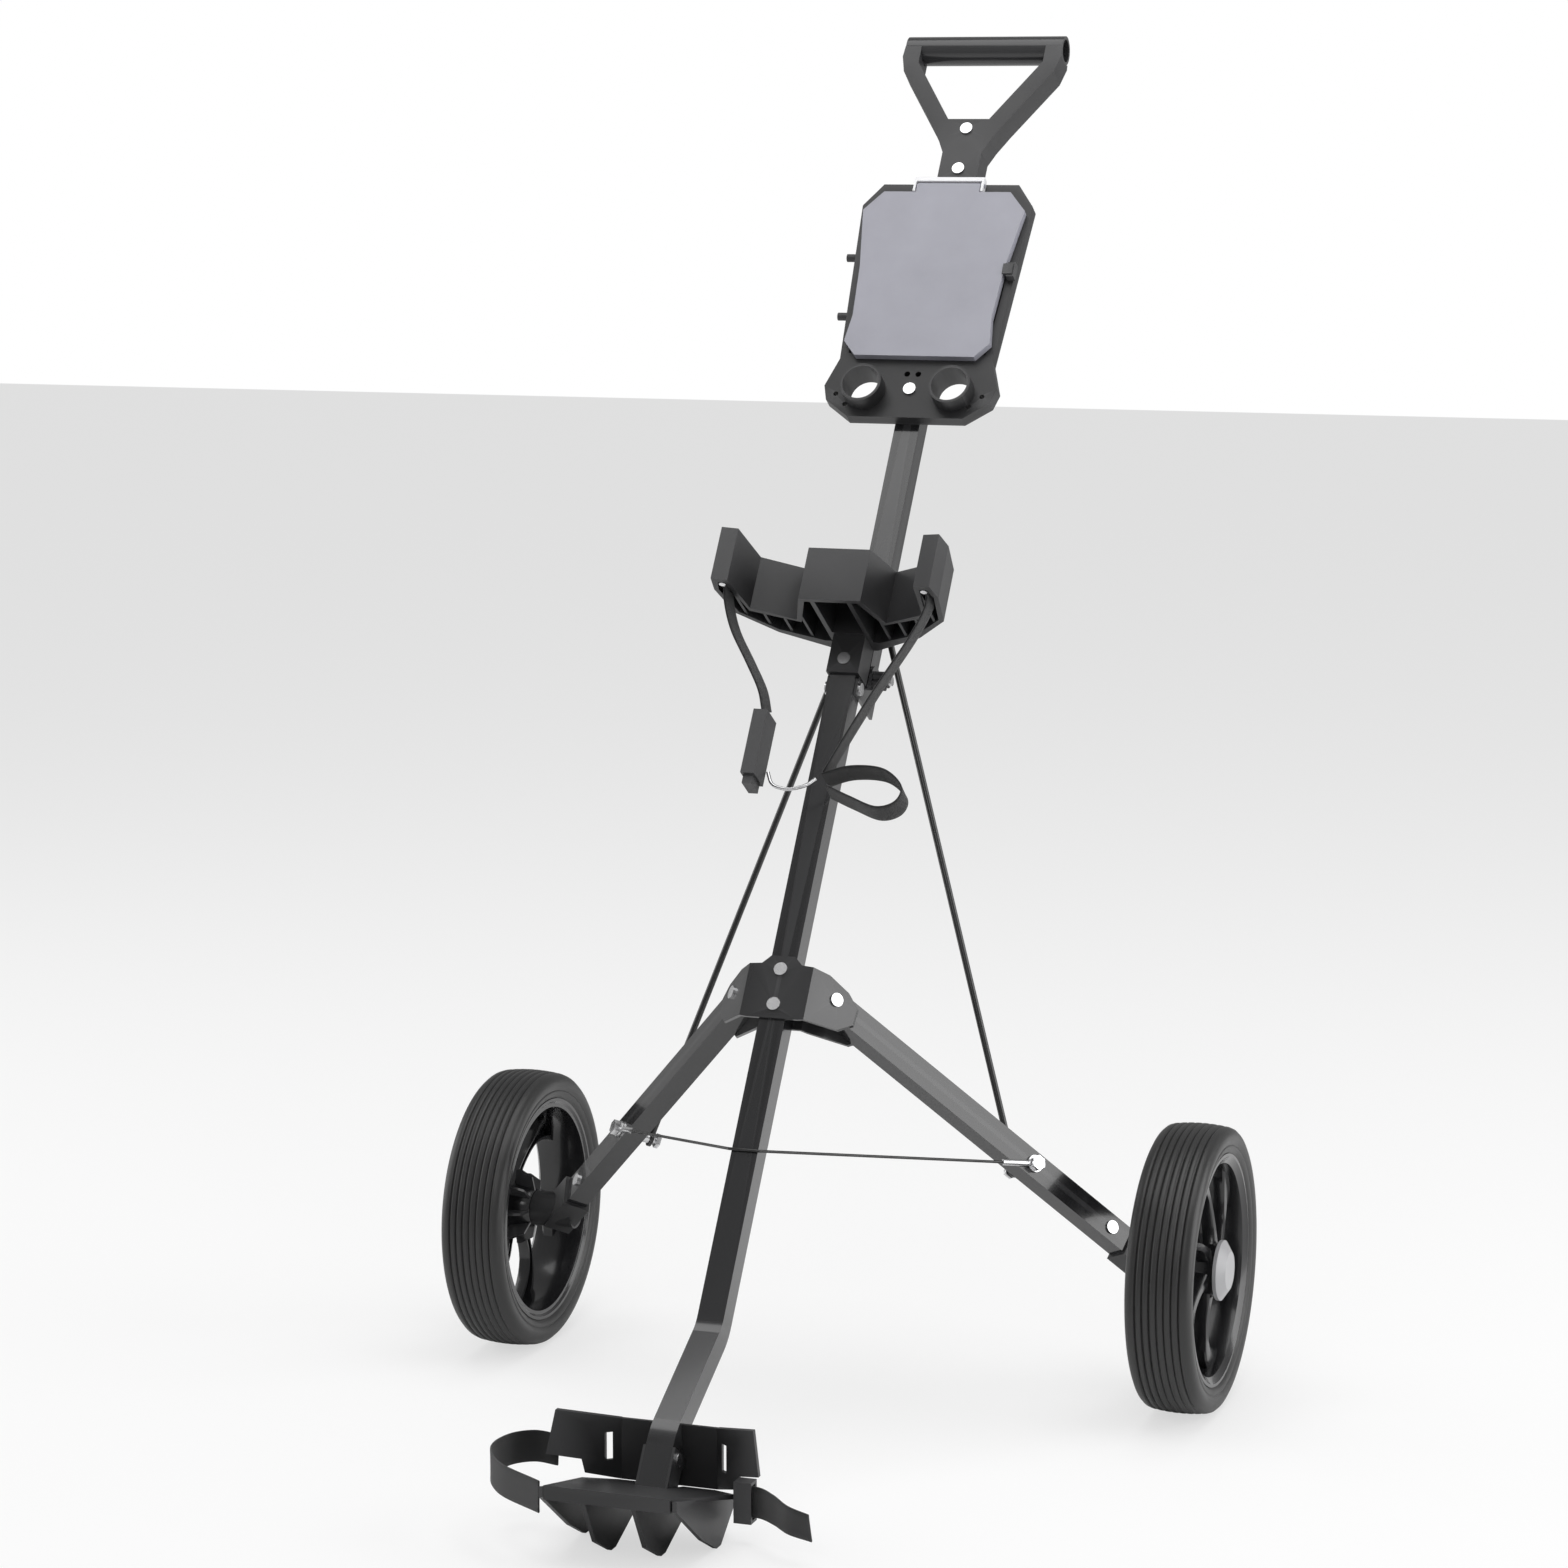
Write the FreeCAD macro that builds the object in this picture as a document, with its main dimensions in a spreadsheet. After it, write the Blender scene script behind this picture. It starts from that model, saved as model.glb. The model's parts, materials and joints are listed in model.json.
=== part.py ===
import FreeCAD, Part
import math
import os
import re
import Sketcher
from FreeCAD import Placement, Rotation, Vector

# Two-wheel folding golf cart. +Z up, front (bag side) towards -Y, wheels on X.
# Origin: on the ground, under the middle of the overall box.
# The mast frame has its datum on the lower tube's front face at the leg pivots:
# x to the right, y to the back, z up along the tube.

SIZES = {
    # wheels and stance
    "wheel_radius": 120, "wheel_wide": 56, "wheel_stand_off": 38, "axle_back": 79.2,
    "tyre_deep": 25, "rim_wide": 46, "hub_radius": 22, "axle_radius": 5, "bush_wall": 2,
    "bush_long": 8, "hub_inset": 11, "cap_radius": 25, "cap_high": 9, "lean": 34,
    # lower tube, with its forward step at the foot
    "tube_wide": 22, "tube_deep": 20, "tube_wall": 1.5, "tube_top": 312,
    "step_start": -278, "step_forward": 52, "step_angle": 27, "step_bend": 40, "tube_bottom": -436,
    # pivot bracket
    "plate": 2.5, "panel_half": 27, "wing_angle": 49, "wing_outer": 58, "bracket_up": 27,
    "bracket_down": 27, "rivet_radius": 3, "rivet_head": 5.5, "rivet_pitch": 15.2,
    # legs
    "pivot_side": 42.3, "pivot_back": 19.1, "spread": 72.7, "leg_wide": 22, "leg_deep": 18,
    "leg_over": 13, "axle_reach": 362.4, "leg_cut": 16, "cable_reach": 223.8, "rivet_reach": 313,
    "block_over": 12, "running": 0.05, "gap": 0.3,
    # mast
    "mast_gap": 12, "fold_height": 299.4, "rod_height": 347.4, "mast_bottom": 286,
    "mast_top": 830, "cheek": 2.5, "cheek_low": 268, "cheek_high": 318, "bolt_radius": 4,
    "rod_radius": 2.75, "rod_eye": 2.5, "rod_top_side": 15.4, "rod_inset": 10, "knob_radius": 8.4, "knob_long": 12,
    # handle
    "yoke_deep": 23, "yoke_wall": 3, "neck_half": 18, "neck_low": 789, "ring_low": 852,
    "ring_high": 913, "ring_low_half": 19, "ring_high_half": 58, "ring_rim": 18,
    "grip_height": 933, "grip_radius": 13, "grip_long": 146, "yoke_rivet_low": 799.5,
    "yoke_rivet_high": 841.5,
    # score board
    "tray_half": 78, "tray_low": 541, "tray_high": 777, "tray_deep": 12, "lid_half": 74,
    "lid_low": 598, "lid_high": 770, "lid_deep": 7, "cup_side": 40, "cup_height": 566,
    "cup_bore": 16, "cup_wall": 2.5, "cup_long": 16, "tee_hole": 2.6, "tee_side": 5,
    "tee_height": 584, "tray_bolt_height": 569, "lid_pin": 2,
    # bag cradle
    "cradle_low": 318, "cradle_high": 366, "neck_bottom": 284, "neck_wall": 3, "block_front": 66,
    "block_half": 27, "arm_tip": 95, "arm_side": 97, "cradle_wall": 3.5, "arm_pin": 3,
    # foot
    "panel_front": 423, "foot_panel_half": 39, "foot_low": 31, "foot_high": 79, "wing_rise": 12,
    "wing_side": 80, "wing_front": 456, "foot_plate": 3.5, "toe_front": 551, "toe_half": 50,
    "toe_high": 64, "toe_bar": 11, "toe_plate": 4, "rib": 3.5, "rib_outer": 53, "rib_inner": 20,
    "foot_bolt": 30, "rib_tip_back": 462, "rib_tip_front": 492,
    # soft parts
    "web_wide": 25, "web_thick": 2, "cable_radius": 1.25, "crimp_radius": 2.6, "crimp_long": 26,
}

# Sizes worked out from the driving ones, as formulas in the same sheet.
DERIVED = {
    "leg_x": "sin(spread) * cos(wing_angle)",
    "leg_y": "sin(spread) * sin(wing_angle)",
    "leg_z": "-cos(spread)",
    "axle_side": "pivot_side + axle_reach * leg_x - leg_deep / 2 * sin(wing_angle)",
    "axle_y": "pivot_back + axle_reach * leg_y + leg_deep / 2 * cos(wing_angle)",
    "axle_z": "axle_reach * leg_z",
    "mast_y": "axle_back - axle_y * cos(lean) - axle_z * sin(lean)",
    "mast_z": "wheel_radius + axle_y * sin(lean) - axle_z * cos(lean)",
    "wheel_side": "axle_side + wheel_stand_off",
    "mast_front": "tube_deep + mast_gap",
    "fold_back": "mast_front + tube_deep / 2",
    "rim_radius": "wheel_radius - tyre_deep",
    "step_run": "(step_forward - 2 * step_bend * (1 - cos(step_angle))) / tan(step_angle)",
    "step_low": "step_start - 2 * step_bend * sin(step_angle) - step_run",
}

doc = FreeCAD.newDocument("golf_cart")
sheet = doc.addObject("Spreadsheet::Sheet", "Sizes")
names = {}


def formula(text):
    """Put the sheet's name before each size in an expression."""
    return re.sub(r"[a-z][a-z_]*", lambda m: names.get(m.group(), m.group()), str(text))


for row, (alias, number) in enumerate(SIZES.items(), start=1):
    sheet.set("A%d" % row, alias)
    sheet.set("B%d" % row, str(number))
    sheet.setAlias("B%d" % row, alias)
for row, (alias, text) in enumerate(DERIVED.items(), start=len(SIZES) + 1):
    sheet.set("A%d" % row, alias)
    sheet.set("B%d" % row, "=" + text)
    sheet.setAlias("B%d" % row, alias)
for alias in list(SIZES) + list(DERIVED):
    names[alias] = "Sizes." + alias
doc.recompute()


def num(text):
    """The value of an expression in millimetres or degrees."""
    value = sheet.evalExpression(formula(text))
    return float(getattr(value, "Value", value))


# ---------------------------------------------------------------- frames
X, Y, Z = Vector(1, 0, 0), Vector(0, 1, 0), Vector(0, 0, 1)
GROUND = Placement()
MAST = Placement(Vector(0, num("mast_y"), num("mast_z")), Rotation(Vector(-1, 0, 0), num("lean")))
LEG = MAST * Placement(Vector(num("pivot_side"), num("pivot_back"), 0),
                       Rotation(Z, num("wing_angle") - 90)) \
    * Placement(Vector(), Rotation(X, num("spread")))

nodes = []


def bind(obj, **expressions):
    """Bind properties of an object to sizes in the sheet."""
    for prop, text in expressions.items():
        obj.setExpression(prop.replace("__", "."), formula(text))
    return obj


def place(obj, frame):
    """Put an object in a frame; the mast frame stays bound to the sheet."""
    obj.Placement = frame
    if frame is MAST:
        bind(obj, Placement__Base__y="mast_y", Placement__Base__z="mast_z",
             Placement__Rotation__Angle="lean")
    return obj


def node(obj, label, frame=None):
    """Name a finished sub-part and put it in its frame."""
    if obj.TypeId in ("Part::Box", "Part::Cylinder"):
        obj = group(obj)
    obj.Label = label
    if frame is not None:
        place(obj, frame)
    nodes.append(obj)
    return obj


# ------------------------------------------------------------- primitives
def box(low, size):
    """A box from its low corner and its three sizes, as expressions."""
    obj = doc.addObject("Part::Box", "Box")
    bind(obj, Length=size[0], Width=size[1], Height=size[2])
    return bind(obj, Placement__Base__x=low[0], Placement__Base__y=low[1],
                Placement__Base__z=low[2])


def cylinder(base, radius, length, axis=Z):
    """A cylinder from the middle of its base, along an axis."""
    obj = doc.addObject("Part::Cylinder", "Cylinder")
    obj.Placement = Placement(Vector(), Rotation(Z, axis))
    bind(obj, Radius=radius, Height=length)
    return bind(obj, Placement__Base__x=base[0], Placement__Base__y=base[1],
                Placement__Base__z=base[2])


def cut(base, *tools):
    """A solid less one or more tools."""
    obj = doc.addObject("Part::Cut", "Cut")
    obj.Base = base
    obj.Tool = tools[0] if len(tools) == 1 else fuse(*tools)
    return obj


def fuse(*parts):
    """Several solids joined into one."""
    obj = doc.addObject("Part::MultiFuse", "Fuse")
    obj.Shapes = list(parts)
    obj.Refine = True
    return obj


def group(*parts):
    """Separate solids that share one node."""
    obj = doc.addObject("Part::Compound", "Group")
    obj.Links = list(parts)
    return obj


def mirror(source, label):
    """The left-hand twin of a finished right-hand sub-part."""
    obj = doc.addObject("Part::Mirroring", "Mirror")
    obj.Source = source
    obj.Normal = X
    return node(obj, label)


# ---------------------------------------------------------------- sketches
PLANES = {"XY": "XY_Plane", "XZ": "XZ_Plane", "YZ": "YZ_Plane"}


def sketch(body, plane, loops):
    """Closed loops of corners; a corner with a radius is reached by an arc of it."""
    origin = [f for f in body.Origin.OriginFeatures if f.Role == PLANES[plane]][0]
    flat = body.newObject("Sketcher::SketchObject", "Outline")
    flat.AttachmentSupport = [(origin, "")]
    flat.MapMode = "FlatFace"
    for loop in loops:
        draw_loop(flat, loop)
    return flat


def draw_loop(flat, loop):
    """One closed loop whose corners are bound to the sheet."""
    spots = [Vector(num(c[0]), num(c[1]), 0) for c in loop]
    first = flat.GeometryCount
    for i, corner in enumerate(loop):
        start, end = spots[i - 1], spots[i]
        if len(corner) == 3:
            flat.addGeometry(arc_between(start, end, num(corner[2])), False)
        else:
            flat.addGeometry(Part.LineSegment(start, end), False)
    count = len(loop)
    for i, corner in enumerate(loop):
        geo, after = first + i, first + (i + 1) % count
        end, begin = ends(flat, geo, spots[i]), ends(flat, after, spots[i])
        flat.addConstraint(Sketcher.Constraint("Coincident", geo, end, after, begin))
        for kind, text, value in (("DistanceX", corner[0], spots[i].x),
                                  ("DistanceY", corner[1], spots[i].y)):
            at = flat.addConstraint(Sketcher.Constraint(kind, -1, 1, geo, end, value))
            flat.setExpression("Constraints[%d]" % at, formula(text))
        if len(corner) == 3:
            radius = abs(num(corner[2]))
            at = flat.addConstraint(Sketcher.Constraint("Radius", geo, radius))
            flat.setExpression("Constraints[%d]" % at, "abs(%s)" % formula(corner[2]))


def ends(flat, geo, spot):
    """Which end of a piece of geometry lies on a spot: 1 for start, 2 for end."""
    near = (flat.getPoint(geo, 1) - spot).Length < (flat.getPoint(geo, 2) - spot).Length
    return 1 if near else 2


def arc_between(start, end, radius):
    """An arc of a radius; a negative radius bulges to the right of the way."""
    middle, half = (start + end) * 0.5, (end - start) * 0.5
    side = Vector(-half.y, half.x, 0).normalize()
    rise = math.sqrt(max(radius * radius - half.Length ** 2, 0))
    sign = 1 if radius > 0 else -1
    top = middle + side * (sign * (abs(radius) - rise))
    return Part.Arc(start, top, end)


def pad(plane, loops, length, middle=False, shift=None):
    """A sketch padded by a length, centred on its plane if asked."""
    body = doc.addObject("PartDesign::Body", "Body")
    flat = sketch(body, plane, loops)
    if shift:
        flat.setExpression("AttachmentOffset.Base.z", formula(shift))
    grown = body.newObject("PartDesign::Pad", "Pad")
    grown.Profile = flat
    grown.Midplane = middle
    bind(grown, Length=length)
    flat.Visibility = False
    return body


def turned(loops, label_axis="V_Axis"):
    """A sketch in the XZ plane turned a full circle about its own vertical axis."""
    body = doc.addObject("PartDesign::Body", "Body")
    flat = sketch(body, "XZ", loops)
    round_piece = body.newObject("PartDesign::Revolution", "Turn")
    round_piece.Profile = flat
    round_piece.ReferenceAxis = (flat, [label_axis])
    round_piece.Angle = 360
    flat.Visibility = False
    return body


def mirrored(points):
    """An outline given for the right half, closed by its left half."""
    left = [("-(%s)" % p[0],) + tuple(p[1:]) for p in reversed(points)]
    return list(points) + left


# --------------------------------------------------------------- fasteners
def rivet(base, length, axis, head="rivet_head", radius="rivet_radius"):
    """A rivet with a low domed head at each end, along an axis."""
    high = "1.8"
    shank = cylinder(base, radius, length, axis)
    caps = []
    for reach in ("-(%s)" % high, length):
        at = [
            "%s + (%s) * %s" % (b, reach, a)
            for b, a in zip(base, (axis.x, axis.y, axis.z))
        ]
        caps.append(cylinder(at, head, high, axis))
    return fuse(shank, *caps)


def hexagon_nut(base, across, thick, axis):
    """A nut as a six-sided prism."""
    obj = doc.addObject("Part::Prism", "Nut")
    obj.Polygon = 6
    obj.Placement = Placement(Vector(), Rotation(Z, axis))
    bind(obj, Circumradius="(%s) / 1.732" % across, Height=thick)
    return bind(obj, Placement__Base__x=base[0], Placement__Base__y=base[1],
                Placement__Base__z=base[2])


# ============================================================ frame pieces
def tube_side(inset):
    """Side outline of the stepped tube, inset by a wall, with its four bend arcs."""
    bend, half = "step_bend", "(tube_deep / 2 - %s)" % inset
    out, down = "cos(step_angle)", "sin(step_angle)"
    upper_y, lower_y = "(tube_deep / 2 - step_bend)", "(tube_deep / 2 - step_forward + step_bend)"
    low_z = "step_low"
    corners = []
    for side, sign in (("-", 1), ("+", -1)):
        first, second = "(%s %s %s)" % (bend, side, half), "(%s %s %s)" % (
            bend, "+" if side == "-" else "-", half)
        face = [("tube_deep / 2 %s %s" % (side, half), "tube_top"),
                ("tube_deep / 2 %s %s" % (side, half), "step_start"),
                ("%s + %s * %s" % (upper_y, first, out), "step_start - %s * %s" % (first, down),
                 first),
                ("%s - %s * %s" % (lower_y, second, out), "%s + %s * %s" % (low_z, second, down)),
                ("%s - %s" % (lower_y, second), low_z, "-" + second),
                ("%s - %s" % (lower_y, second), "tube_bottom")]
        corners.append(face)
    front, rear = corners
    back = []
    for i in range(len(rear) - 1, -1, -1):
        after = rear[i + 1] if i + 1 < len(rear) else None
        arc = (after[2],) if after is not None and len(after) == 3 else ()
        back.append((rear[i][0], rear[i][1]) + tuple(flip(r) for r in arc))
    return front + back


def flip(radius):
    """The same arc radius for the other way round."""
    return radius[1:] if radius.startswith("-") else "-" + radius


def lower_tube():
    """Square tube that steps forward at its foot, with the holes for its rivets."""
    outer = pad("YZ", [tube_side("0")], "tube_wide", middle=True)
    inner = pad("YZ", [tube_side("tube_wall")], "tube_wide - 2 * tube_wall", middle=True)
    holes = [cylinder(["0", "-20", "%d * rivet_pitch" % side], "rivet_radius", "60", Y)
             for side in (1, -1)]
    holes.append(cylinder(["-20", "tube_deep / 2", "cheek_low + 7"], "rivet_radius", "40", X))
    holes.append(cylinder(["-20", "tube_deep / 2 - step_forward", "tube_bottom + foot_bolt"],
                          "rivet_radius", "40", X))
    return node(cut(outer, inner, *holes), "lower_tube", MAST)


def wing_frame(side_in):
    """A frame on the right leg plane, its origin on the pivot, a step inwards."""
    turn = Rotation(Z, num("wing_angle") - 90)
    at = Vector(num("pivot_side"), num("pivot_back"), 0) - turn.multVec(X) * side_in
    return Placement(at, turn)


def bracket(label, behind):
    """Folded plate: a panel across the tube and a swept-back wing for each leg."""
    if behind:
        inner = "leg_deep + gap"
        panel_y, offset = "tube_deep", "-(leg_deep + gap + plate)"
    else:
        inner = "-(gap + plate)"
        panel_y, offset = "-plate", "gap"
    outline = mirrored([("10", "bracket_up"), ("17", "bracket_up - 7"), ("38", "bracket_up - 9"),
                        ("wing_outer - 7", "bracket_up - 17"), ("wing_outer", "0"),
                        ("wing_outer - 1", "-bracket_down + 12"),
                        ("wing_outer - 10", "-bracket_down + 3"), ("22", "-bracket_down")])
    blank = pad("XZ", [outline], "200", middle=True)
    # where the panel's outer face meets the wing's outer face
    reach = "(pivot_back + (%s) * cos(wing_angle) - (%s)) / sin(wing_angle)" % (inner, panel_y)
    fold_x = "pivot_side - (%s) * sin(wing_angle) - (%s) * cos(wing_angle)" % (inner, reach)
    panel = box(["-(%s)" % fold_x, panel_y, "-bracket_down"],
                ["2 * (%s)" % fold_x, "plate", "bracket_down + bracket_up"])
    sheets = [panel]
    for side in (1, -1):
        wing = box([offset, "-(%s)" % reach, "-bracket_down"],
                   ["plate", "(%s) + wing_outer" % reach, "bracket_down + bracket_up"])
        turned_wing = group(wing)
        turned_wing.Placement = wing_frame(0)
        if side < 0:
            other = doc.addObject("Part::Mirroring", "Mirror")
            other.Source = turned_wing
            other.Normal = X
            turned_wing = other
        sheets.append(turned_wing)
    common = doc.addObject("Part::Common", "Common")
    common.Base = fuse(*sheets)
    common.Tool = blank
    holes = []
    for side in (1, -1):
        pin = cylinder(["-40", "0", "0"], "rivet_radius + running", "80", X)
        hole = group(pin)
        hole.Placement = wing_frame(0)
        if side < 0:
            other = doc.addObject("Part::Mirroring", "Mirror")
            other.Source = hole
            other.Normal = X
            hole = other
        holes.append(hole)
    for side in (1, -1):
        holes.append(cylinder(["0", "-20", "%d * rivet_pitch" % side], "rivet_radius", "80", Y))
    return node(cut(common, *holes), label, MAST)


def bracket_rivets():
    """Two rivets through the front plate, the tube and the rear plate."""
    pair = [rivet(["0", "-plate", "%d * rivet_pitch" % side], "tube_deep + 2 * plate", Y)
            for side in (1, -1)]
    return node(group(*pair), "bracket_rivets", MAST)


def leg_pivot_pins():
    """The two pins that the legs turn on, riveted over both wings."""
    long = "leg_deep + 2 * gap + 2 * plate"
    pins = []
    for side in (1, -1):
        pin = group(rivet(["-(leg_deep + gap + plate)", "0", "0"], long, X))
        pin.Placement = wing_frame(0)
        if side < 0:
            other = doc.addObject("Part::Mirroring", "Mirror")
            other.Source = pin
            other.Normal = X
            pin = other
        pins.append(pin)
    return node(group(*pins), "leg_pivot_pins", MAST)


def hinge_cheeks():
    """Two side plates riveted to the lower tube that carry the mast's pivot bolt."""
    plates = []
    for low_x in ("tube_wide / 2 + gap", "-tube_wide / 2 - gap - cheek"):
        plate = box([low_x, "3", "cheek_low"],
                    ["cheek", "fold_back - 3", "neck_bottom - cheek_low - 1"])
        ear = cylinder([low_x, "fold_back", "fold_height"], "12", "cheek", X)
        link = box([low_x, "tube_deep + 5", "cheek_low"],
                   ["cheek", "fold_back - tube_deep + 6", "fold_height - cheek_low"])
        hole = cylinder([low_x, "fold_back", "fold_height"], "bolt_radius + running", "cheek", X)
        pin = cylinder([low_x, "tube_deep / 2", "cheek_low + 7"], "rivet_radius", "cheek", X)
        plates.append(cut(fuse(plate, link, ear), hole, pin))
    return node(group(*plates), "hinge_cheeks", MAST)


def cheek_rivet():
    """The rivet that holds both cheeks on the lower tube."""
    pin = rivet(["-(tube_wide / 2 + gap + cheek)", "tube_deep / 2", "cheek_low + 7"],
                "tube_wide + 2 * gap + 2 * cheek", X)
    return node(pin, "cheek_rivet", MAST)


def pivot_bolt():
    """The bolt that the mast folds about, with its head on the left."""
    start = "-(tube_wide / 2 + gap + cheek)"
    shank = cylinder([start, "fold_back", "fold_height"], "bolt_radius",
                     "tube_wide + 2 * cheek + 3 * gap + knob_long + 3", X)
    head = hexagon_nut([start + " - 5", "fold_back", "fold_height"], "13", "5", X)
    return node(fuse(shank, head), "pivot_bolt", MAST)


def tube_plug():
    """Plastic plug in the open top end of the lower tube."""
    wide = "(tube_wide / 2 - tube_wall)"
    plug = box(["-" + wide, "tube_wall", "tube_top - 12"],
               ["2 * " + wide, "tube_deep - 2 * tube_wall", "12"])
    return node(plug, "tube_plug", MAST)


# ------------------------------------------------------------------ cradle
def cradle():
    """Moulded bag rest: a sleeve on the tube, a bumper block and two curved arms."""
    inside = [("block_half", "-block_front"), ("block_half + 12", "-28"),
              ("arm_side - 22", "-46"), ("arm_side - 17", "-arm_tip")]
    outside = [("arm_side - 3", "-arm_tip - 2"), ("arm_side", "-arm_tip + 18"),
               ("arm_side - 6", "-36"), ("62", "-4"), ("neck_wall + tube_wide / 2 + 4", "23")]
    tall = "cradle_high - cradle_low"
    body = pad("XY", [mirrored(inside + outside)], tall, shift="cradle_low")
    pocket = [("18", "8"), ("18", "-block_front + 4.5"),
              ("block_half - 4", "-block_front + 4.5"), ("block_half + 9", "-24"),
              ("arm_side - 20", "-41"), ("arm_side - 17 + 4", "-arm_tip + 5"),
              ("arm_side - 7", "-arm_tip + 5"), ("arm_side - 4", "-arm_tip + 18"),
              ("arm_side - 10", "-38"), ("60", "-9"), ("24", "8")]
    right = pad("XY", [pocket], tall + " - cradle_wall", shift="cradle_low")
    left = pad("XY", [[("-(%s)" % x, y) for x, y in pocket]], tall + " - cradle_wall",
               shift="cradle_low")
    front = box(["-14", "-block_front + 4.5", "cradle_low"],
                ["28", "block_front - 12", tall + " - cradle_wall"])
    ribs = []
    for side in (1, -1):
        for rib_x in (34, 50, 66, 82):
            low_x = "%d * %d - 1.2" % (side, rib_x)
            ribs.append(box([low_x, "-arm_tip + 8", "cradle_low + 1"],
                            ["2.4", "arm_tip", tall + " - 3"]))
    outline = pad("XY", [mirrored(inside + outside)], tall, shift="cradle_low")
    kept = doc.addObject("Part::Common", "Common")
    kept.Base = outline
    kept.Tool = fuse(*ribs)
    shell = fuse(cut(body, right, left, front), kept)
    sleeve = box(["-(tube_wide / 2 + neck_wall)", "-neck_wall", "neck_bottom"],
                 ["tube_wide + 2 * neck_wall", "tube_deep + neck_wall + 2.5",
                  "cradle_high - neck_bottom"])
    bore = box(["-tube_wide / 2", "0", "neck_bottom"],
               ["tube_wide", "tube_deep", "tube_top - neck_bottom"])
    screw = cylinder(["0", "-neck_wall - 3", "neck_bottom + 12"], "rivet_radius", "9", Y)
    mast_way = box(["-(tube_wide / 2 + 3.5)", "mast_front - 9", "neck_bottom"],
                   ["tube_wide + 7", "60", "cradle_high - neck_bottom"])
    pins = [cylinder(["%s(arm_side - 10)" % s, "-arm_tip + 9", "cradle_low - 1"],
                     "arm_pin + running", "cradle_high - cradle_low + 2", Z) for s in ("", "-")]
    return node(cut(fuse(shell, sleeve), bore, screw, mast_way, *pins), "cradle", MAST)


def cradle_screw():
    """Screw that keeps the cradle's sleeve on the tube."""
    head = cylinder(["0", "-neck_wall - 2.5", "neck_bottom + 12"], "rivet_head", "2.5", Y)
    shank = cylinder(["0", "-neck_wall", "neck_bottom + 12"], "rivet_radius",
                     "neck_wall", Y)
    return node(fuse(head, shank), "cradle_screw", MAST)


def arm_pins():
    """Upright pins at the arm ends that the bag straps loop round."""
    pins = [cylinder(["%s(arm_side - 10)" % s, "-arm_tip + 9", "cradle_low"],
                     "arm_pin", "cradle_high - cradle_low", Z) for s in ("", "-")]
    return node(group(*pins), "arm_pins", MAST)


# -------------------------------------------------------------------- mast
def upper_tube():
    """Straight square tube from the fold pivot up into the handle."""
    outer = box(["-tube_wide / 2", "mast_front", "mast_bottom"],
                ["tube_wide", "tube_deep", "mast_top - mast_bottom"])
    inner = box(["-tube_wide / 2 + tube_wall", "mast_front + tube_wall", "mast_bottom - 1"],
                ["tube_wide - 2 * tube_wall", "tube_deep - 2 * tube_wall",
                 "mast_top - mast_bottom + 2"])
    fold = cylinder(["-20", "fold_back", "fold_height"], "bolt_radius + running", "40", X)
    holes = [cylinder(["-20", "fold_back", "rod_height"], "rivet_radius", "40", X)]
    for height in TRAY_BOLTS:
        holes.append(cylinder(["0", "mast_front - 5", height], "rivet_radius", "15", Y))
    holes.append(cylinder(["0", "mast_front - 5", "yoke_rivet_low"], "rivet_radius", "40", Y))
    return node(cut(outer, inner, fold, *holes), "upper_tube", MAST)


def mast_plug():
    """Plastic plug in the mast's lower end, below the pivot bolt."""
    wide = "(tube_wide / 2 - tube_wall)"
    plug = box(["-" + wide, "mast_front + tube_wall", "mast_bottom"],
               ["2 * " + wide, "tube_deep - 2 * tube_wall", "7"])
    return node(plug, "mast_plug", MAST)


def cross_bolt():
    """Bolt through the mast whose flat heads face the upper ends of both fold rods."""
    half = "(rod_top_side - rod_eye / 2 - gap)"
    shank = cylinder(["-" + half, "fold_back", "rod_height"], "rivet_radius", "2 * " + half, X)
    heads = [cylinder([start, "fold_back", "rod_height"], "rivet_head",
                      half + " - tube_wide / 2", X) for start in ("-" + half, "tube_wide / 2")]
    return node(fuse(shank, *heads), "cross_bolt", MAST)


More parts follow.
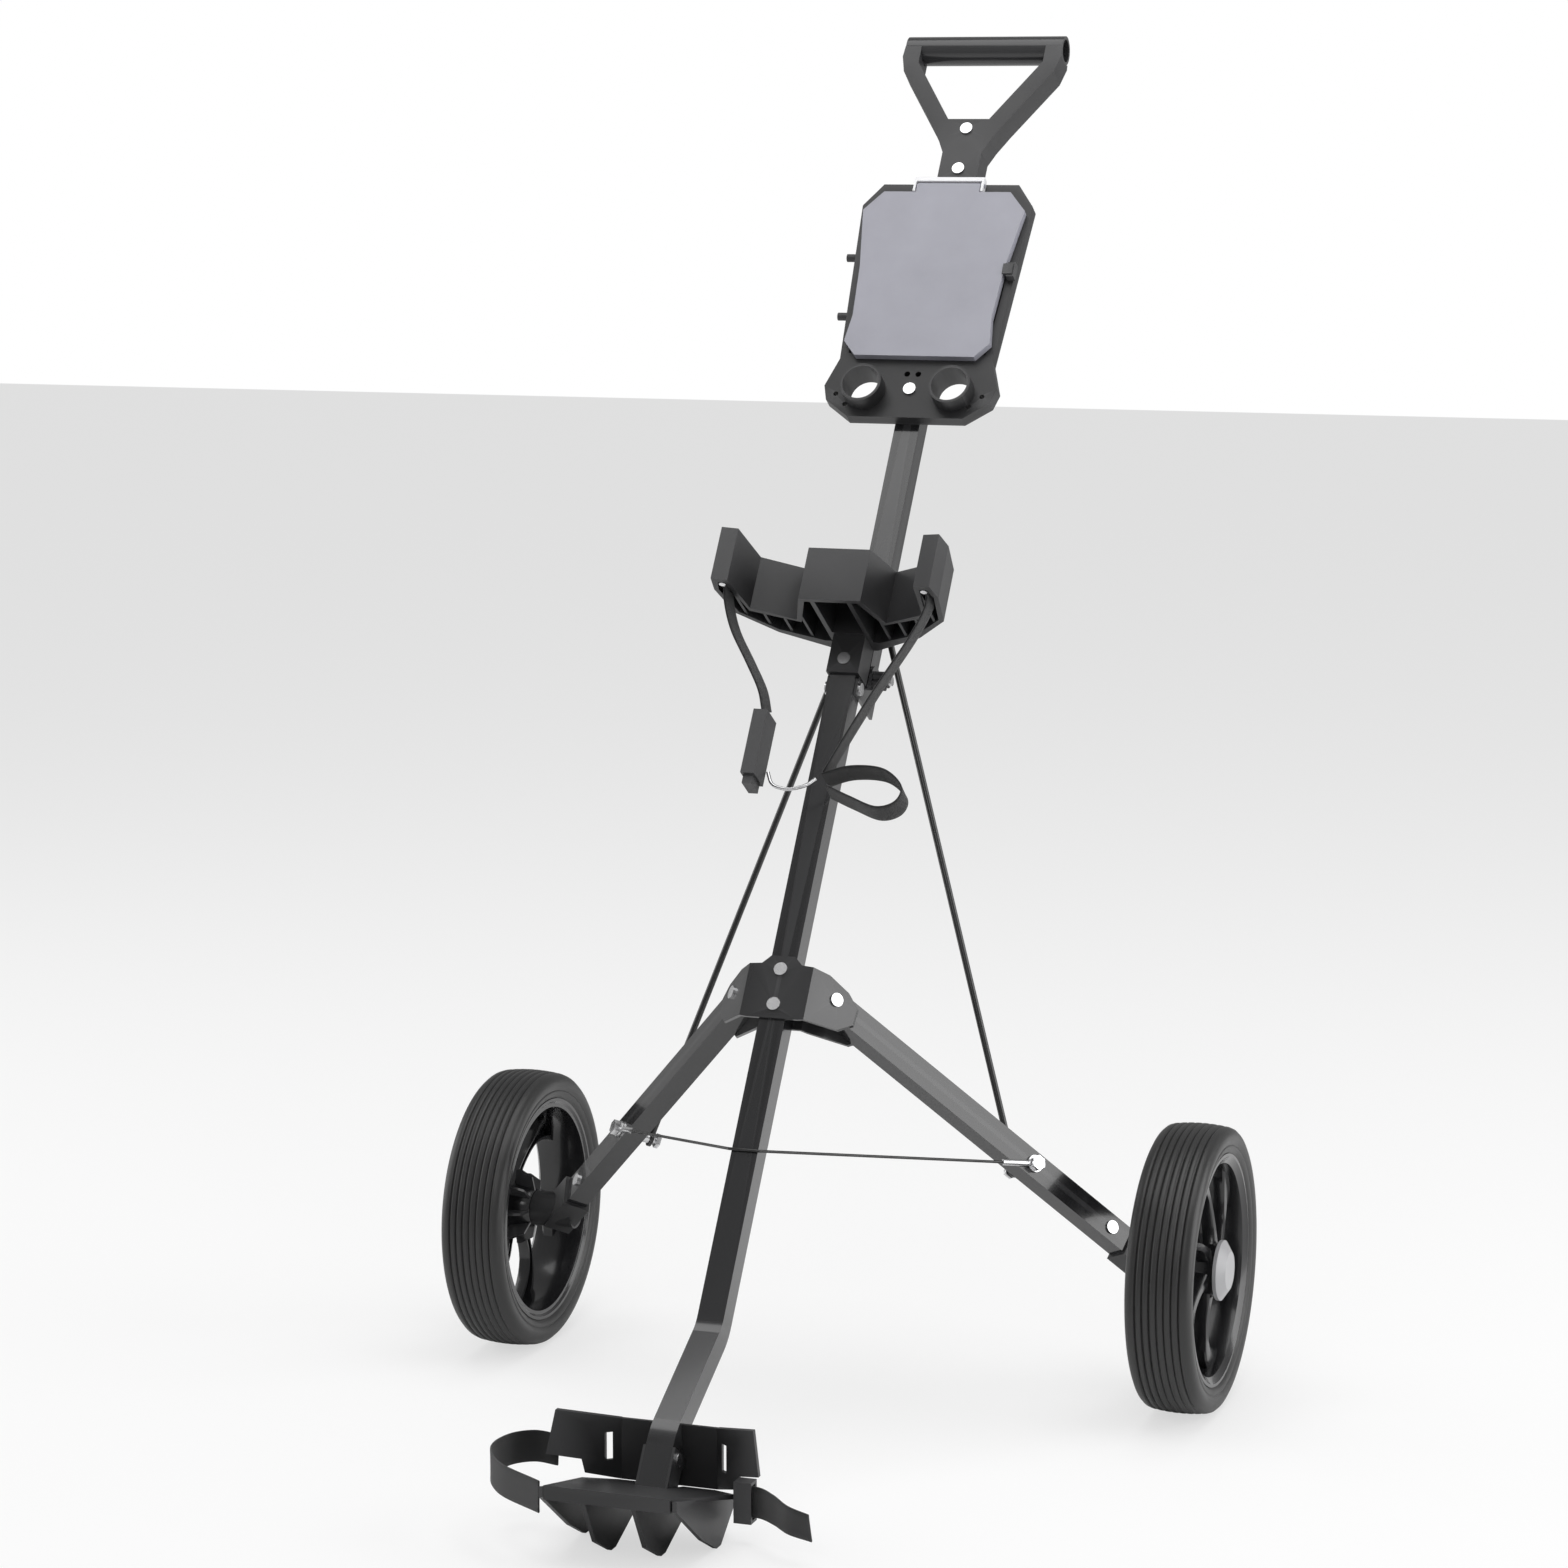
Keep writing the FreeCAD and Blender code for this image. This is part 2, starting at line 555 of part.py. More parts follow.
def handle_yoke():
    """Channel-shaped yoke: a neck over the mast that opens into a ring for the grip."""
    outer = mirrored([("neck_half", "neck_low"), ("neck_half", "neck_low + 28"),
                      ("neck_half + 6", "ring_low - 22"), ("ring_low_half + 15", "ring_low - 5"),
                      ("ring_high_half + 12", "ring_high - 10"),
                      ("ring_high_half + 16", "ring_high + 6"),
                      ("ring_high_half + 15", "grip_height"), ("ring_high_half", "grip_height"),
                      ("ring_high_half", "ring_high"), ("ring_low_half", "ring_low")])
    solid = pad("XZ", [outer], "yoke_deep", shift="-mast_front - yoke_deep + yoke_wall")
    inner = mirrored([("neck_half - yoke_wall", "neck_low - 1"),
                      ("neck_half - yoke_wall", "neck_low + 29"),
                      ("neck_half + 6 - yoke_wall", "ring_low - 20"),
                      ("ring_low_half + 15 - yoke_wall", "ring_low - 3"),
                      ("ring_high_half + 12 - yoke_wall", "ring_high - 8"),
                      ("ring_high_half + 16 - yoke_wall", "ring_high + 6"),
                      ("ring_high_half + 15 - yoke_wall", "grip_height + 1"),
                      ("ring_high_half + yoke_wall", "grip_height + 1"),
                      ("ring_high_half + yoke_wall", "ring_high - 1"),
                      ("ring_low_half + yoke_wall / 2", "ring_low - yoke_wall")])
    pocket = pad("XZ", [inner], "yoke_deep", shift="-mast_front - yoke_deep")
    bar = cylinder(["-100", "mast_front + 10", "grip_height"], "grip_radius + gap", "200", X)
    tube = box(["-tube_wide / 2", "mast_front", "neck_low - 2"],
               ["tube_wide", "tube_deep", "mast_top - neck_low + 2"])
    pins = [cylinder(["0", "mast_front - 10", at], "rivet_radius", "40", Y)
            for at in ("yoke_rivet_low", "yoke_rivet_high")]
    return node(cut(solid, pocket, bar, tube, *pins), "handle_yoke", MAST)


def grip():
    """Round grip tube across the top of the yoke."""
    outer = cylinder(["-grip_long / 2", "mast_front + 10", "grip_height"], "grip_radius",
                     "grip_long", X)
    inner = cylinder(["-grip_long / 2 - 1", "mast_front + 10", "grip_height"],
                     "grip_radius - 3", "grip_long + 2", X)
    return node(cut(outer, inner), "grip", MAST)


def handle_rivets():
    """Two rivets through the yoke's neck; the lower one holds the mast too."""
    pair = []
    for at, deep in (("yoke_rivet_low", "tube_deep + 3"), ("yoke_rivet_high", "6")):
        pair.append(rivet(["0", "mast_front - 3", at], deep, Y))
    return node(group(*pair), "handle_rivets", MAST)


# ------------------------------------------------------------- score board
TRAY_BOLTS = ("tray_bolt_height", "lid_high - 60")


def score_tray():
    """Board on the mast's front with a card well, two ball rings and tee holes."""
    outline = mirrored([("tray_half - 26", "tray_low"), ("tray_half - 4", "tray_low + 16"),
                        ("tray_half", "tray_low + 30"), ("tray_half - 9", "lid_low"),
                        ("tray_half - 5", "lid_low + 70"), ("tray_half", "tray_high - 22"),
                        ("tray_half - 16", "tray_high")])
    board = pad("XZ", [outline], "tray_deep", shift="-mast_front")
    well = mirrored([("lid_half - 12", "lid_low + 6"), ("lid_half - 8", "lid_low + 70"),
                     ("lid_half - 6", "lid_high - 30"), ("lid_half - 18", "lid_high - 8")])
    hollow = pad("XZ", [well], "tray_deep - 4", shift="-mast_front + 4")
    rings = []
    bores = []
    for side in ("cup_side", "-cup_side"):
        rings.append(cylinder([side, "mast_front - tray_deep - cup_long", "cup_height"],
                              "cup_bore + cup_wall", "cup_long + tray_deep", Y))
        bores.append(cylinder([side, "mast_front - tray_deep - cup_long - 1", "cup_height"],
                              "cup_bore", "cup_long + tray_deep + 2", Y))
    for side in ("tee_side", "-tee_side"):
        bores.append(cylinder([side, "mast_front - tray_deep - 1", "tee_height"], "tee_hole",
                              "tray_deep - 2", Y))
    for side in ("", "-"):
        for out, up in ((12, 22), (22, 12)):
            bores.append(cylinder(["%s(tray_half - %d)" % (side, out), "0",
                                   "tray_low + %d" % up], "2.2", "60", Y))
    for height in TRAY_BOLTS:
        bores.append(cylinder(["0", "mast_front - tray_deep - 5", height], "rivet_radius",
                              "40", Y))
    return node(cut(fuse(cut(board, hollow), *rings), *pegs(), *bores), "score_tray", MAST)


def tray_bolts():
    """Bolts that hold the board on the mast: one below the lid, one in the well."""
    low = rivet(["0", "mast_front - tray_deep", TRAY_BOLTS[0]], "tray_deep + tube_wall", Y)
    high = rivet(["0", "mast_front - 4", TRAY_BOLTS[1]], "4 + tube_wall", Y)
    return node(group(low, high), "tray_bolts", MAST)


def lid_hinge():
    """Clip on the board's top edge that the lid's pin turns in."""
    long = "64"
    base = box(["-32", "mast_front - tray_deep - 7.5", "lid_high - 4"], [long, "7.5", "14"])
    pin = cylinder(["-40", "mast_front - tray_deep - lid_deep / 2 - gap", "lid_high + 3"],
                   "lid_pin + running", "80", X)
    slot = box(["-30", "mast_front - tray_deep - 10", "lid_high - 5"], ["60", "11", "11.2"])
    return node(cut(base, pin, slot), "lid_hinge", MAST)


def score_lid():
    """Clear cover over the score card, hinged at its top edge."""
    outline = mirrored([("lid_half - 20", "lid_low"), ("lid_half - 8", "lid_low + 14"),
                        ("lid_half - 11", "lid_low + 40"), ("lid_half - 8", "lid_low + 90"),
                        ("lid_half", "lid_high - 24"), ("lid_half - 16", "lid_high - 5")])
    plate = pad("XZ", [outline], "lid_deep", shift="-mast_front + tray_deep + gap")
    inner = mirrored([("lid_half - 23", "lid_low + 3"), ("lid_half - 12", "lid_low + 15"),
                      ("lid_half - 15", "lid_low + 40"), ("lid_half - 12", "lid_low + 90"),
                      ("lid_half - 4", "lid_high - 25"), ("lid_half - 19", "lid_high - 9")])
    hollow = pad("XZ", [inner], "lid_deep - 1.8", shift="-mast_front + tray_deep + gap - 0.1")
    barrel = cylinder(["-29", "mast_front - tray_deep - lid_deep / 2 - gap", "lid_high + 3"],
                      "2.9", "58", X)
    neck = box(["-29", "mast_front - tray_deep - lid_deep / 2 - gap - 2.9", "lid_high - 7"],
               ["58", "2.4", "10"])
    pins = [cylinder([at, "mast_front - tray_deep - lid_deep / 2 - gap", "lid_high + 3"],
                     "lid_pin", "3.5", X) for at in ("-32.4", "28.9")]
    notch = cylinder(["lid_half + 2", "-60", "lid_low + 88"], "9", "120", Y)
    return node(fuse(cut(plate, hollow, notch), barrel, neck, *pins), "score_lid", MAST)


def lid_catch():
    """Spring tab on the board's right edge that holds the lid shut."""
    stem = box(["lid_half - 5.5", "mast_front - tray_deep - lid_deep - 1", "lid_low + 81"],
               ["7", "lid_deep + 1", "14"])
    lip = box(["lid_half - 9", "mast_front - tray_deep - lid_deep - 2.2", "lid_low + 83"],
              ["9", "1.4", "10"])
    return node(fuse(stem, lip), "lid_catch", MAST)


def pegs():
    """The two pencil pegs, which also cut their seats in the board's edge."""
    return [cylinder(["-(tray_half + %d)" % out, "mast_front - 6", "lid_low + %d" % up],
                     "3.5", "17", X) for out, up in ((6, 106), (3, 46))]


def pencil_clips():
    """Two short round pegs on the left edge of the board that grip a pencil."""
    return node(group(*pegs()), "pencil_clips", MAST)


# -------------------------------------------------------------- lock knob
def lock_knob():
    """Lobed hand nut on the right end of the pivot bolt."""
    start = "tube_wide / 2 + cheek + 2 * gap"
    core = cylinder([start, "fold_back", "fold_height"], "knob_radius - 2.5", "knob_long", X)
    lobes = []
    for lobe in range(5):
        turn = math.radians(72 * lobe)
        at = [start, "fold_back + (knob_radius - 3.5) * %.6f" % math.sin(turn),
              "fold_height + (knob_radius - 3.5) * %.6f" % math.cos(turn)]
        lobes.append(cylinder(at, "3.5", "knob_long - 3", X))
    hole = cylinder([start + " - 1", "fold_back", "fold_height"], "bolt_radius + running",
                    "knob_long + 2", X)
    return node(cut(fuse(core, *lobes), hole), "lock_knob", MAST)


# -------------------------------------------------------------------- legs
def leg_tube():
    """Square tube from the bracket down to the axle block."""
    low, high = "-(axle_reach - leg_cut)", "leg_over"
    outer = box(["-leg_deep", "-leg_wide / 2", low], ["leg_deep", "leg_wide",
                                                     "%s - (%s)" % (high, low)])
    inner = box(["-leg_deep + tube_wall", "-leg_wide / 2 + tube_wall", low + " - 1"],
                ["leg_deep - 2 * tube_wall", "leg_wide - 2 * tube_wall",
                 "%s - (%s) + 2" % (high, low)])
    holes = [cylinder(["-30", "0", "0"], "rivet_radius + running", "40", X)]
    for reach in ("-cable_reach", "-rivet_reach"):
        holes.append(cylinder(["-30", "0", reach], "rivet_radius", "40", X))
    return node(cut(outer, inner, *holes), "leg_tube_right", LEG)


def leg_bolts():
    """The bolt for cable and rod, and the rivet that keeps the axle block's tongue."""
    bolt = cylinder(["-leg_deep - rod_inset - 5", "0", "-cable_reach"], "rivet_radius",
                    "leg_deep + rod_inset + 11", X)
    nut = hexagon_nut(["2.5", "0", "-cable_reach"], "11", "5", X)
    head = hexagon_nut(["-leg_deep - rod_inset - 8", "0", "-cable_reach"], "11", "3.5", X)
    spacer = cylinder(["-leg_deep - rod_inset + rod_eye / 2 + gap", "0", "-cable_reach"], "4.5",
                      "rod_inset - rod_eye / 2 - gap", X)
    end = rivet(["-leg_deep", "0", "-rivet_reach"], "leg_deep", X)
    return node(group(fuse(bolt, nut, head, spacer), end), "leg_bolts_right", LEG)


def axle_block():
    """Plastic block at the leg's end: a cap over the tube and a boss for the axle."""
    cap = place(group(box(["-leg_deep - 3", "-leg_wide / 2 - 3",
                           "-(axle_reach + block_over)"],
                          ["leg_deep + 6", "leg_wide + 6", "block_over + leg_cut + 14"])), LEG)
    socket = place(group(box(["-leg_deep", "-leg_wide / 2", "-(axle_reach - leg_cut)"],
                             ["leg_deep", "leg_wide", "60"])), LEG)
    start = "-(wheel_stand_off + 12)"
    boss = on_axle(start, "15", "wheel_stand_off + 11.5 + hub_inset - rim_wide / 2")
    bore = on_axle("-(wheel_stand_off + 10)", "axle_radius", "100")
    return node(cut(fuse(cap, boss), socket, bore), "axle_block_right")


def on_axle(start, radius, length):
    """A round piece on the wheel's axis, from a distance off the wheel's middle."""
    return cylinder(["wheel_side + (%s)" % start, "axle_back", "wheel_radius"], radius, length, X)


def axle():
    """Steel axle from the block through the wheel, with a push-on retainer."""
    start = "-(wheel_stand_off + 10)"
    rod = on_axle(start, "axle_radius", "wheel_stand_off + 10 + rim_wide / 2 + 5")
    clip = on_axle("rim_wide / 2 + 0.8", "axle_radius + 4", "1.6")
    return node(fuse(rod, clip), "axle_right")


# ------------------------------------------------------------------ wheels
def about_axle(body):
    """Stand a piece turned about Z on the wheel's axis."""
    body.Placement = Placement(Vector(num("wheel_side"), num("axle_back"), num("wheel_radius")),
                               Rotation(Z, X))
    return bind(body, Placement__Base__x="wheel_side", Placement__Base__y="axle_back",
                Placement__Base__z="wheel_radius")


def tyre():
    """Crowned tyre; the tread is an arc across the wheel's width."""
    profile = [("rim_radius", "-rim_wide / 2"), ("wheel_radius - 8", "-wheel_wide / 2"),
               ("wheel_radius - 8", "wheel_wide / 2", "-(wheel_wide * wheel_wide / 64 + 4)"),
               ("rim_radius", "rim_wide / 2")]
    return node(about_axle(turned([profile])), "tyre_right")


def rim():
    """One-piece rim: barrel, six-spoke web and hub."""
    barrel = [("rim_radius - 6", "-rim_wide / 2"), ("rim_radius", "-rim_wide / 2"),
              ("rim_radius", "rim_wide / 2"), ("rim_radius - 6", "rim_wide / 2")]
    inner = "axle_radius + bush_wall"
    hub = [(inner, "hub_inset - rim_wide / 2"), ("hub_radius", "hub_inset - rim_wide / 2"),
           ("hub_radius", "rim_wide / 2"), (inner, "rim_wide / 2")]
    web = [("hub_radius - 1", "4"), ("rim_radius - 5", "4"), ("rim_radius - 5", "12"),
           ("hub_radius - 1", "12")]
    windows = []
    for spoke in range(6):
        turn = math.radians(60 * spoke)
        middle = "(hub_radius + rim_radius - 6) / 2"
        windows.append(cylinder(["%s * %.6f" % (middle, math.cos(turn)),
                                 "%s * %.6f" % (middle, math.sin(turn)), "0"],
                                "(rim_radius - hub_radius) / 2 - 11", "20", Z))
    body = fuse(turned([barrel]), turned([hub]), cut(turned([web]), *windows))
    return node(about_axle(body), "rim_right")


def wheel_bushes():
    """Two plain bushes in the hub that run on the axle."""
    rings = []
    for start in ("hub_inset - rim_wide / 2", "rim_wide / 2 - bush_long"):
        outer = on_axle(start, "axle_radius + bush_wall", "bush_long")
        inner = on_axle(start, "axle_radius + running", "bush_long")
        rings.append(cut(outer, inner))
    return node(group(*rings), "wheel_bushes_right")


def hub_cap():
    """Domed cap pressed on the outer face of the hub."""
    base = "rim_wide / 2"
    dome = [("cap_radius", base), ("cap_radius", base + " + 3"),
            ("cap_radius - 9", base + " + cap_high"), ("0", base + " + cap_high"),
            ("0", base + " + cap_high - 2.5"), ("cap_radius - 10", base + " + cap_high - 2.5"),
            ("cap_radius - 3", base + " + 2"), ("cap_radius - 3", base)]
    return node(about_axle(turned([dome])), "hub_cap_right")


# -------------------------------------------------------------------- rods
def fold_rod():
    """Rod with an eye at each end, from the mast's cross bolt to the leg's bolt."""
    top = Vector(num("rod_top_side"), num("fold_back"), num("rod_height"))
    low = (MAST.inverse() * LEG).multVec(
        Vector(-num("leg_deep") - num("rod_inset"), 0, -num("cable_reach")))
    thick, way = num("rod_eye"), (low - top).normalize()
    leg_axis = (MAST.inverse() * LEG).Rotation.multVec(X)
    shape = Part.makeCylinder(num("rod_radius"), (low - top).Length - 10, top + way * 5, way)
    for spot, axis in ((top, X), (low, leg_axis)):
        shape = shape.fuse(Part.makeCylinder(6.5, thick, spot - axis * (thick / 2), axis))
    hole = Part.makeCylinder(num("rivet_radius + running"), 30, low - leg_axis * 15, leg_axis)
    nut = Part.makeCylinder(4.5, 3, top + X * (thick / 2), X)
    shape = shape.cut(hole).fuse(nut)
    rod = doc.addObject("Part::Feature", "Rod")
    rod.Shape = shape.removeSplitter()
    return node(rod, "fold_rod_right", MAST)


# -------------------------------------------------------------------- foot
def foot_channel(extra):
    """The folded channel that clasps the tube's foot, grown by a clearance."""
    low = ["-tube_wide / 2 - 2 - %s" % extra, "-step_forward - %s" % extra,
           "tube_bottom - 2 - %s" % extra]
    size = ["tube_wide + 4 + 2 * %s" % extra, "tube_deep + 2.5 + 2 * %s" % extra,
            "step_low - tube_bottom + 2 + 2 * %s" % extra]
    return place(group(box(low, size)), MAST)


def foot_bracket():
    """Back plate of the foot: a channel on the tube and two wings turned forward."""
    blank = pad("XZ", [mirrored([("15", "foot_high"), ("foot_panel_half", "foot_high"),
                                 ("wing_side", "foot_high + wing_rise"),
                                 ("wing_side + 6", "foot_high - 22"),
                                 ("wing_side - 16", "foot_high - 29"),
                                 ("wing_side - 18", "foot_low + 8"),
                                 ("foot_panel_half", "foot_low")])], "700")
    plan = mirrored([("foot_panel_half", "-panel_front"), ("wing_side + 8", "-wing_front - 6"),
                     ("wing_side + 10", "-wing_front - 3"),
                     ("foot_panel_half + 1", "-panel_front + foot_plate")])
    folded = pad("XY", [plan], "200", shift="-20")
    for piece in (blank, folded):
        bind(piece, Placement__Base__y="axle_back")
    kept = doc.addObject("Part::Common", "Common")
    kept.Base = folded
    kept.Tool = blank
    slots = [box(["%s(foot_panel_half + 8) - 2.5" % s, "axle_back - 520", "foot_low + 16"],
                 ["5", "120", "22"]) for s in ("", "-")]
    tube = place(pad("YZ", [tube_side("0")], "tube_wide", middle=True), MAST)
    tie = box(["-tube_wide / 2 - 2", "axle_back - panel_front - 9", "foot_low + 15"],
              ["tube_wide + 4", "10", "9"])
    return node(cut(fuse(kept, foot_channel("0"), tie), tube, bolt_way(), *slots),
                "foot_bracket")


def bolt_way():
    """The hole for the foot's bolt, across the tube and its channel."""
    pin = cylinder(["-30", "tube_deep / 2 - step_forward", "tube_bottom + foot_bolt"],
                   "rivet_radius", "60", X)
    return place(group(pin), MAST)


def toe_platform():
    """Platform that carries the bag, with a front bar and four pointed ribs."""
    rear, front = "axle_back - panel_front", "axle_back - toe_front"
    side = [(front, "toe_high"), (front, "toe_high - toe_bar"),
            (front + " + 4", "toe_high - toe_bar"), (front + " + 4", "toe_high - toe_plate"),
            (rear, "foot_low - toe_plate"), (rear, "foot_low")]
    slab = pad("YZ", [side], "2 * toe_half + 30", middle=True)
    plan = mirrored([("toe_half", front), ("wing_side - 18", rear + " - 24"),
                     ("foot_panel_half", rear + " - 5")])
    shape = pad("XY", [plan], "200", shift="-20")
    platform = doc.addObject("Part::Common", "Common")
    platform.Base = slab
    platform.Tool = shape
    ribs = []
    for at, tip in (("rib_outer", "rib_tip_back"), ("rib_inner", "rib_tip_front")):
        edge = [(front + " + 2", "toe_high - toe_bar + 1"),
                ("axle_back - %s - 34" % tip, "16"), ("axle_back - %s - 4" % tip, "0"),
                ("axle_back - %s + 5" % tip, "0"), (rear, "foot_low - toe_plate - 1"),
                (rear, "foot_low - 2"), (front + " + 2", "toe_high - 2")]
        for s in (1, -1):
            ribs.append(pad("YZ", [edge], "rib", shift="%d * %s - rib / 2" % (s, at)))
    notch = box(["-tube_wide / 2 - 2 - gap", rear + " - 24", "0"],
                ["tube_wide + 4 + 2 * gap", "30", "60"])
    return node(cut(fuse(platform, *ribs), foot_channel("gap"), notch), "toe_platform")


def foot_bolt():
    """The bolt that holds the foot's channel on the tube."""
    pin = rivet(["-tube_wide / 2 - 2", "tube_deep / 2 - step_forward",
                 "tube_bottom + foot_bolt"], "tube_wide + 4", X)
    return node(pin, "foot_bolt", MAST)


# ------------------------------------------------------------- soft parts
def route(points, radius_share=0.45):
    """A wire of straight runs joined by tangent arcs, printed with its radii."""
    edges, at, radii = [], points[0], []
    for i in range(1, len(points) - 1):
        before, corner, after = points[i - 1], points[i], points[i + 1]
        back, ahead = (before - corner), (after - corner)
        half = back.getAngle(ahead) / 2
        run = radius_share * min(back.Length, ahead.Length)
        start = corner + Vector(back).normalize() * run
        end = corner + Vector(ahead).normalize() * run
        bisector = (Vector(back).normalize() + Vector(ahead).normalize()).normalize()
        radius = run * math.tan(half)
        middle = corner + bisector * (radius / math.sin(half) - radius)
        edges += [Part.LineSegment(at, start).toShape(), Part.Arc(start, middle, end).toShape()]
        radii.append(round(radius))
        at = end
    edges.append(Part.LineSegment(at, points[-1]).toShape())
    print("bend radii", radii)
    return Part.Wire(edges)


def ribbon(label, points, across, frame, wide=None):
    """Webbing: a flat strap standing on the route's plane, extruded across it."""
    wide = wide or num("web_wide")
    half = num("web_thick") / 2
    wire = route(points)
    outer = wire.makeOffset2D(half, openResult=True)
    inner = wire.makeOffset2D(-half, openResult=True)
    caps = []
    for k in (0, -1):
        a, b = outer.OrderedVertexes[k].Point, inner.OrderedVertexes[k].Point
        caps.append(Part.LineSegment(a, b).toShape())
    closed = Part.Wire(Part.__sortEdges__(outer.Edges + inner.Edges + caps))
    strap = doc.addObject("Part::Feature", "Strap")
    strap.Shape = Part.Face(closed).extrude(across * wide)
    return node(strap, label, frame)


def cable_half(label, side):
    """Half of the spread cable, from the leg's crimp to the front of the lower tube."""
    end = MAST.inverse() * LEG * Placement(Vector(1.6, 0, -num("cable_reach")), Rotation())
    eye = Vector(end.Base)
    middle = Vector(0, -num("cable_radius") - num("gap"), -140)
    way = (middle - eye).normalize()
    corner = Vector(num("tube_wide") / 2 + 2, middle.y, middle.z)
    way = (corner - eye).normalize()
    start = eye + way * (6 + num("crimp_long"))
    path = route([start, corner, middle], 0.3)
    tube = Part.Wire(Part.makeCircle(num("cable_radius"), start, way))
    shape = path.makePipeShell([tube], True, False)
    if side < 0:
        shape = shape.mirror(Vector(), X)
    cable = doc.addObject("Part::Feature", "Cable")
    cable.Shape = shape
    return node(cable, label, MAST)


def cable_terminal():
    """Crimped sleeve and flat eye that fix the cable on the leg's bolt."""
    eye = Vector(1.6, 0, -num("cable_reach"))
    target = LEG.inverse() * MAST
    corner = target.multVec(Vector(num("tube_wide") / 2 + 2,
                                   -num("cable_radius") - num("gap"), -140))
    way = (corner - eye).normalize()
    sleeve = Part.makeCylinder(num("crimp_radius"), num("crimp_long"), eye + way * 6, way)
    ring = Part.makeCylinder(7, 2, Vector(0.3, 0, eye.z), X)
    hole = Part.makeCylinder(num("rivet_radius"), 30, Vector(-15, 0, eye.z), X)
    clear = Part.makeBox(20, 40, 500, Vector(-20 + 0.3, -20, -500))
    terminal = doc.addObject("Part::Feature", "Terminal")
    terminal.Shape = ring.fuse(sleeve).cut(hole).cut(clear).removeSplitter()
    return node(terminal, "cable_terminal_right", LEG)


def bag_straps():
    """Upper and lower webbing, as thin closed solids along their hanging routes."""
    low, wide = num("cradle_low"), 22
    pin_x, pin_y = num("arm_side") - 10, num("arm_pin") + num("gap") - num("arm_tip") + 9
    fall, across = Vector(0, 0.388, -0.922), Vector(0, 0.922, 0.388)

    def hang(x, drop):
        """A point of a strap that hangs from its arm pin in a slanting plane."""
        return Vector(x, pin_y, low + 6) + fall * drop

    ribbon("upper_strap_left", [hang(-pin_x, 0), hang(-pin_x, 16), hang(-66, 68),
                                hang(-47, 106)], across, MAST, wide)
    ribbon("upper_strap_right", [hang(pin_x, 0), hang(pin_x, 16), hang(46, 86),
                                 hang(7, 156)], across, MAST, wide)
    ribbon("upper_strap_tail",
           [Vector(8, -4, low - 139.4), Vector(52, -4, low - 131), Vector(84, -4, low - 148),
            Vector(58, -4, low - 170), Vector(13, -4, low - 151)], -Y, MAST, wide)
    back, height = num("axle_back"), num("foot_low") + 14
    ribbon("lower_strap_left",
           [Vector(-81, back - 449.5, height), Vector(-112, back - 452, height),
            Vector(-122, back - 500, height), Vector(-55.9, back - 548.5, height)],
           Z, GROUND)
    ribbon("lower_strap_right",
           [Vector(62, back - 449.2, 21), Vector(86, back - 449.2, 21),
            Vector(104, back - 468, 21), Vector(134, back - 480, 21)], Z, GROUND)


def cam_buckle():
    """Long side-release buckle on the left strap."""
    low = "cradle_low - 92.2"
    case = box(["-53", "-46", low + " - 58"], ["12", "26", "58"])
    bar = box(["-51", "-43", low + " - 66"], ["8", "20", "10"])
    return node(fuse(case, bar), "cam_buckle", MAST)


def strap_hook():
    """Wire hook that joins the right strap to the buckle."""
    path = route([Vector(-39.4, -20, 4), Vector(-34, -20, -8), Vector(-18, -20, -11),
                  Vector(-4, -20, -6), Vector(3, -20, 0.5)])
    path.translate(Vector(0, 0, num("cradle_low") - 141))
    first = path.Edges[0]
    ring = Part.Wire(Part.makeCircle(1.5, first.valueAt(first.FirstParameter),
                                     first.tangentAt(first.FirstParameter)))
    hook = doc.addObject("Part::Feature", "Hook")
    hook.Shape = path.makePipeShell([ring], True, False)
    return node(hook, "strap_hook", MAST)


def strap_keeper():
    """Plastic slide that keeps the lower strap's fold on the foot."""
    outer = box(["64", "axle_back - 455", "17.5"], ["14", "13", "32"])
    slot = box(["63", "axle_back - 452", "20"], ["16", "7", "27"])
    return node(cut(outer, slot), "strap_keeper")


# ================================================================ building
lower_tube()
bracket("pivot_bracket_front", False)
bracket("pivot_bracket_rear", True)
bracket_rivets()
leg_pivot_pins()
hinge_cheeks()
cheek_rivet()
pivot_bolt()
tube_plug()
cradle()
cradle_screw()
arm_pins()
foot_bracket()
toe_platform()
foot_bolt()
upper_tube()
mast_plug()
cross_bolt()
handle_yoke()
grip()
handle_rivets()
score_tray()
tray_bolts()
lid_hinge()
score_lid()
lid_catch()
pencil_clips()
lock_knob()
bag_straps()
cam_buckle()
strap_hook()
strap_keeper()
cable_half("cable_right", 1)
cable_half("cable_left", -1)
for make in (leg_tube, leg_bolts, axle_block, axle, tyre, rim, wheel_bushes, hub_cap, fold_rod,
             cable_terminal):
    right_piece = make()
    mirror(right_piece, right_piece.Label.replace("_right", "_left"))

doc.recompute()
for obj in doc.Objects:
    if "Invalid" in obj.State or "Error" in obj.State:
        raise RuntimeError("%s failed: %s" % (obj.Label, obj.State))
os.makedirs("parts", exist_ok=True)
whole = FreeCAD.BoundBox()
for obj in nodes:
    if obj.Shape.isNull() or not obj.Shape.isValid():
        raise RuntimeError("%s has no valid shape" % obj.Label)
    obj.Shape.exportStep("parts/%s.step" % obj.Label)
    whole.add(obj.Shape.BoundBox)
print(len(nodes), "nodes, box", whole)
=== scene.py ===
import bpy
import bmesh
import json
import math
from mathutils import Matrix, Vector


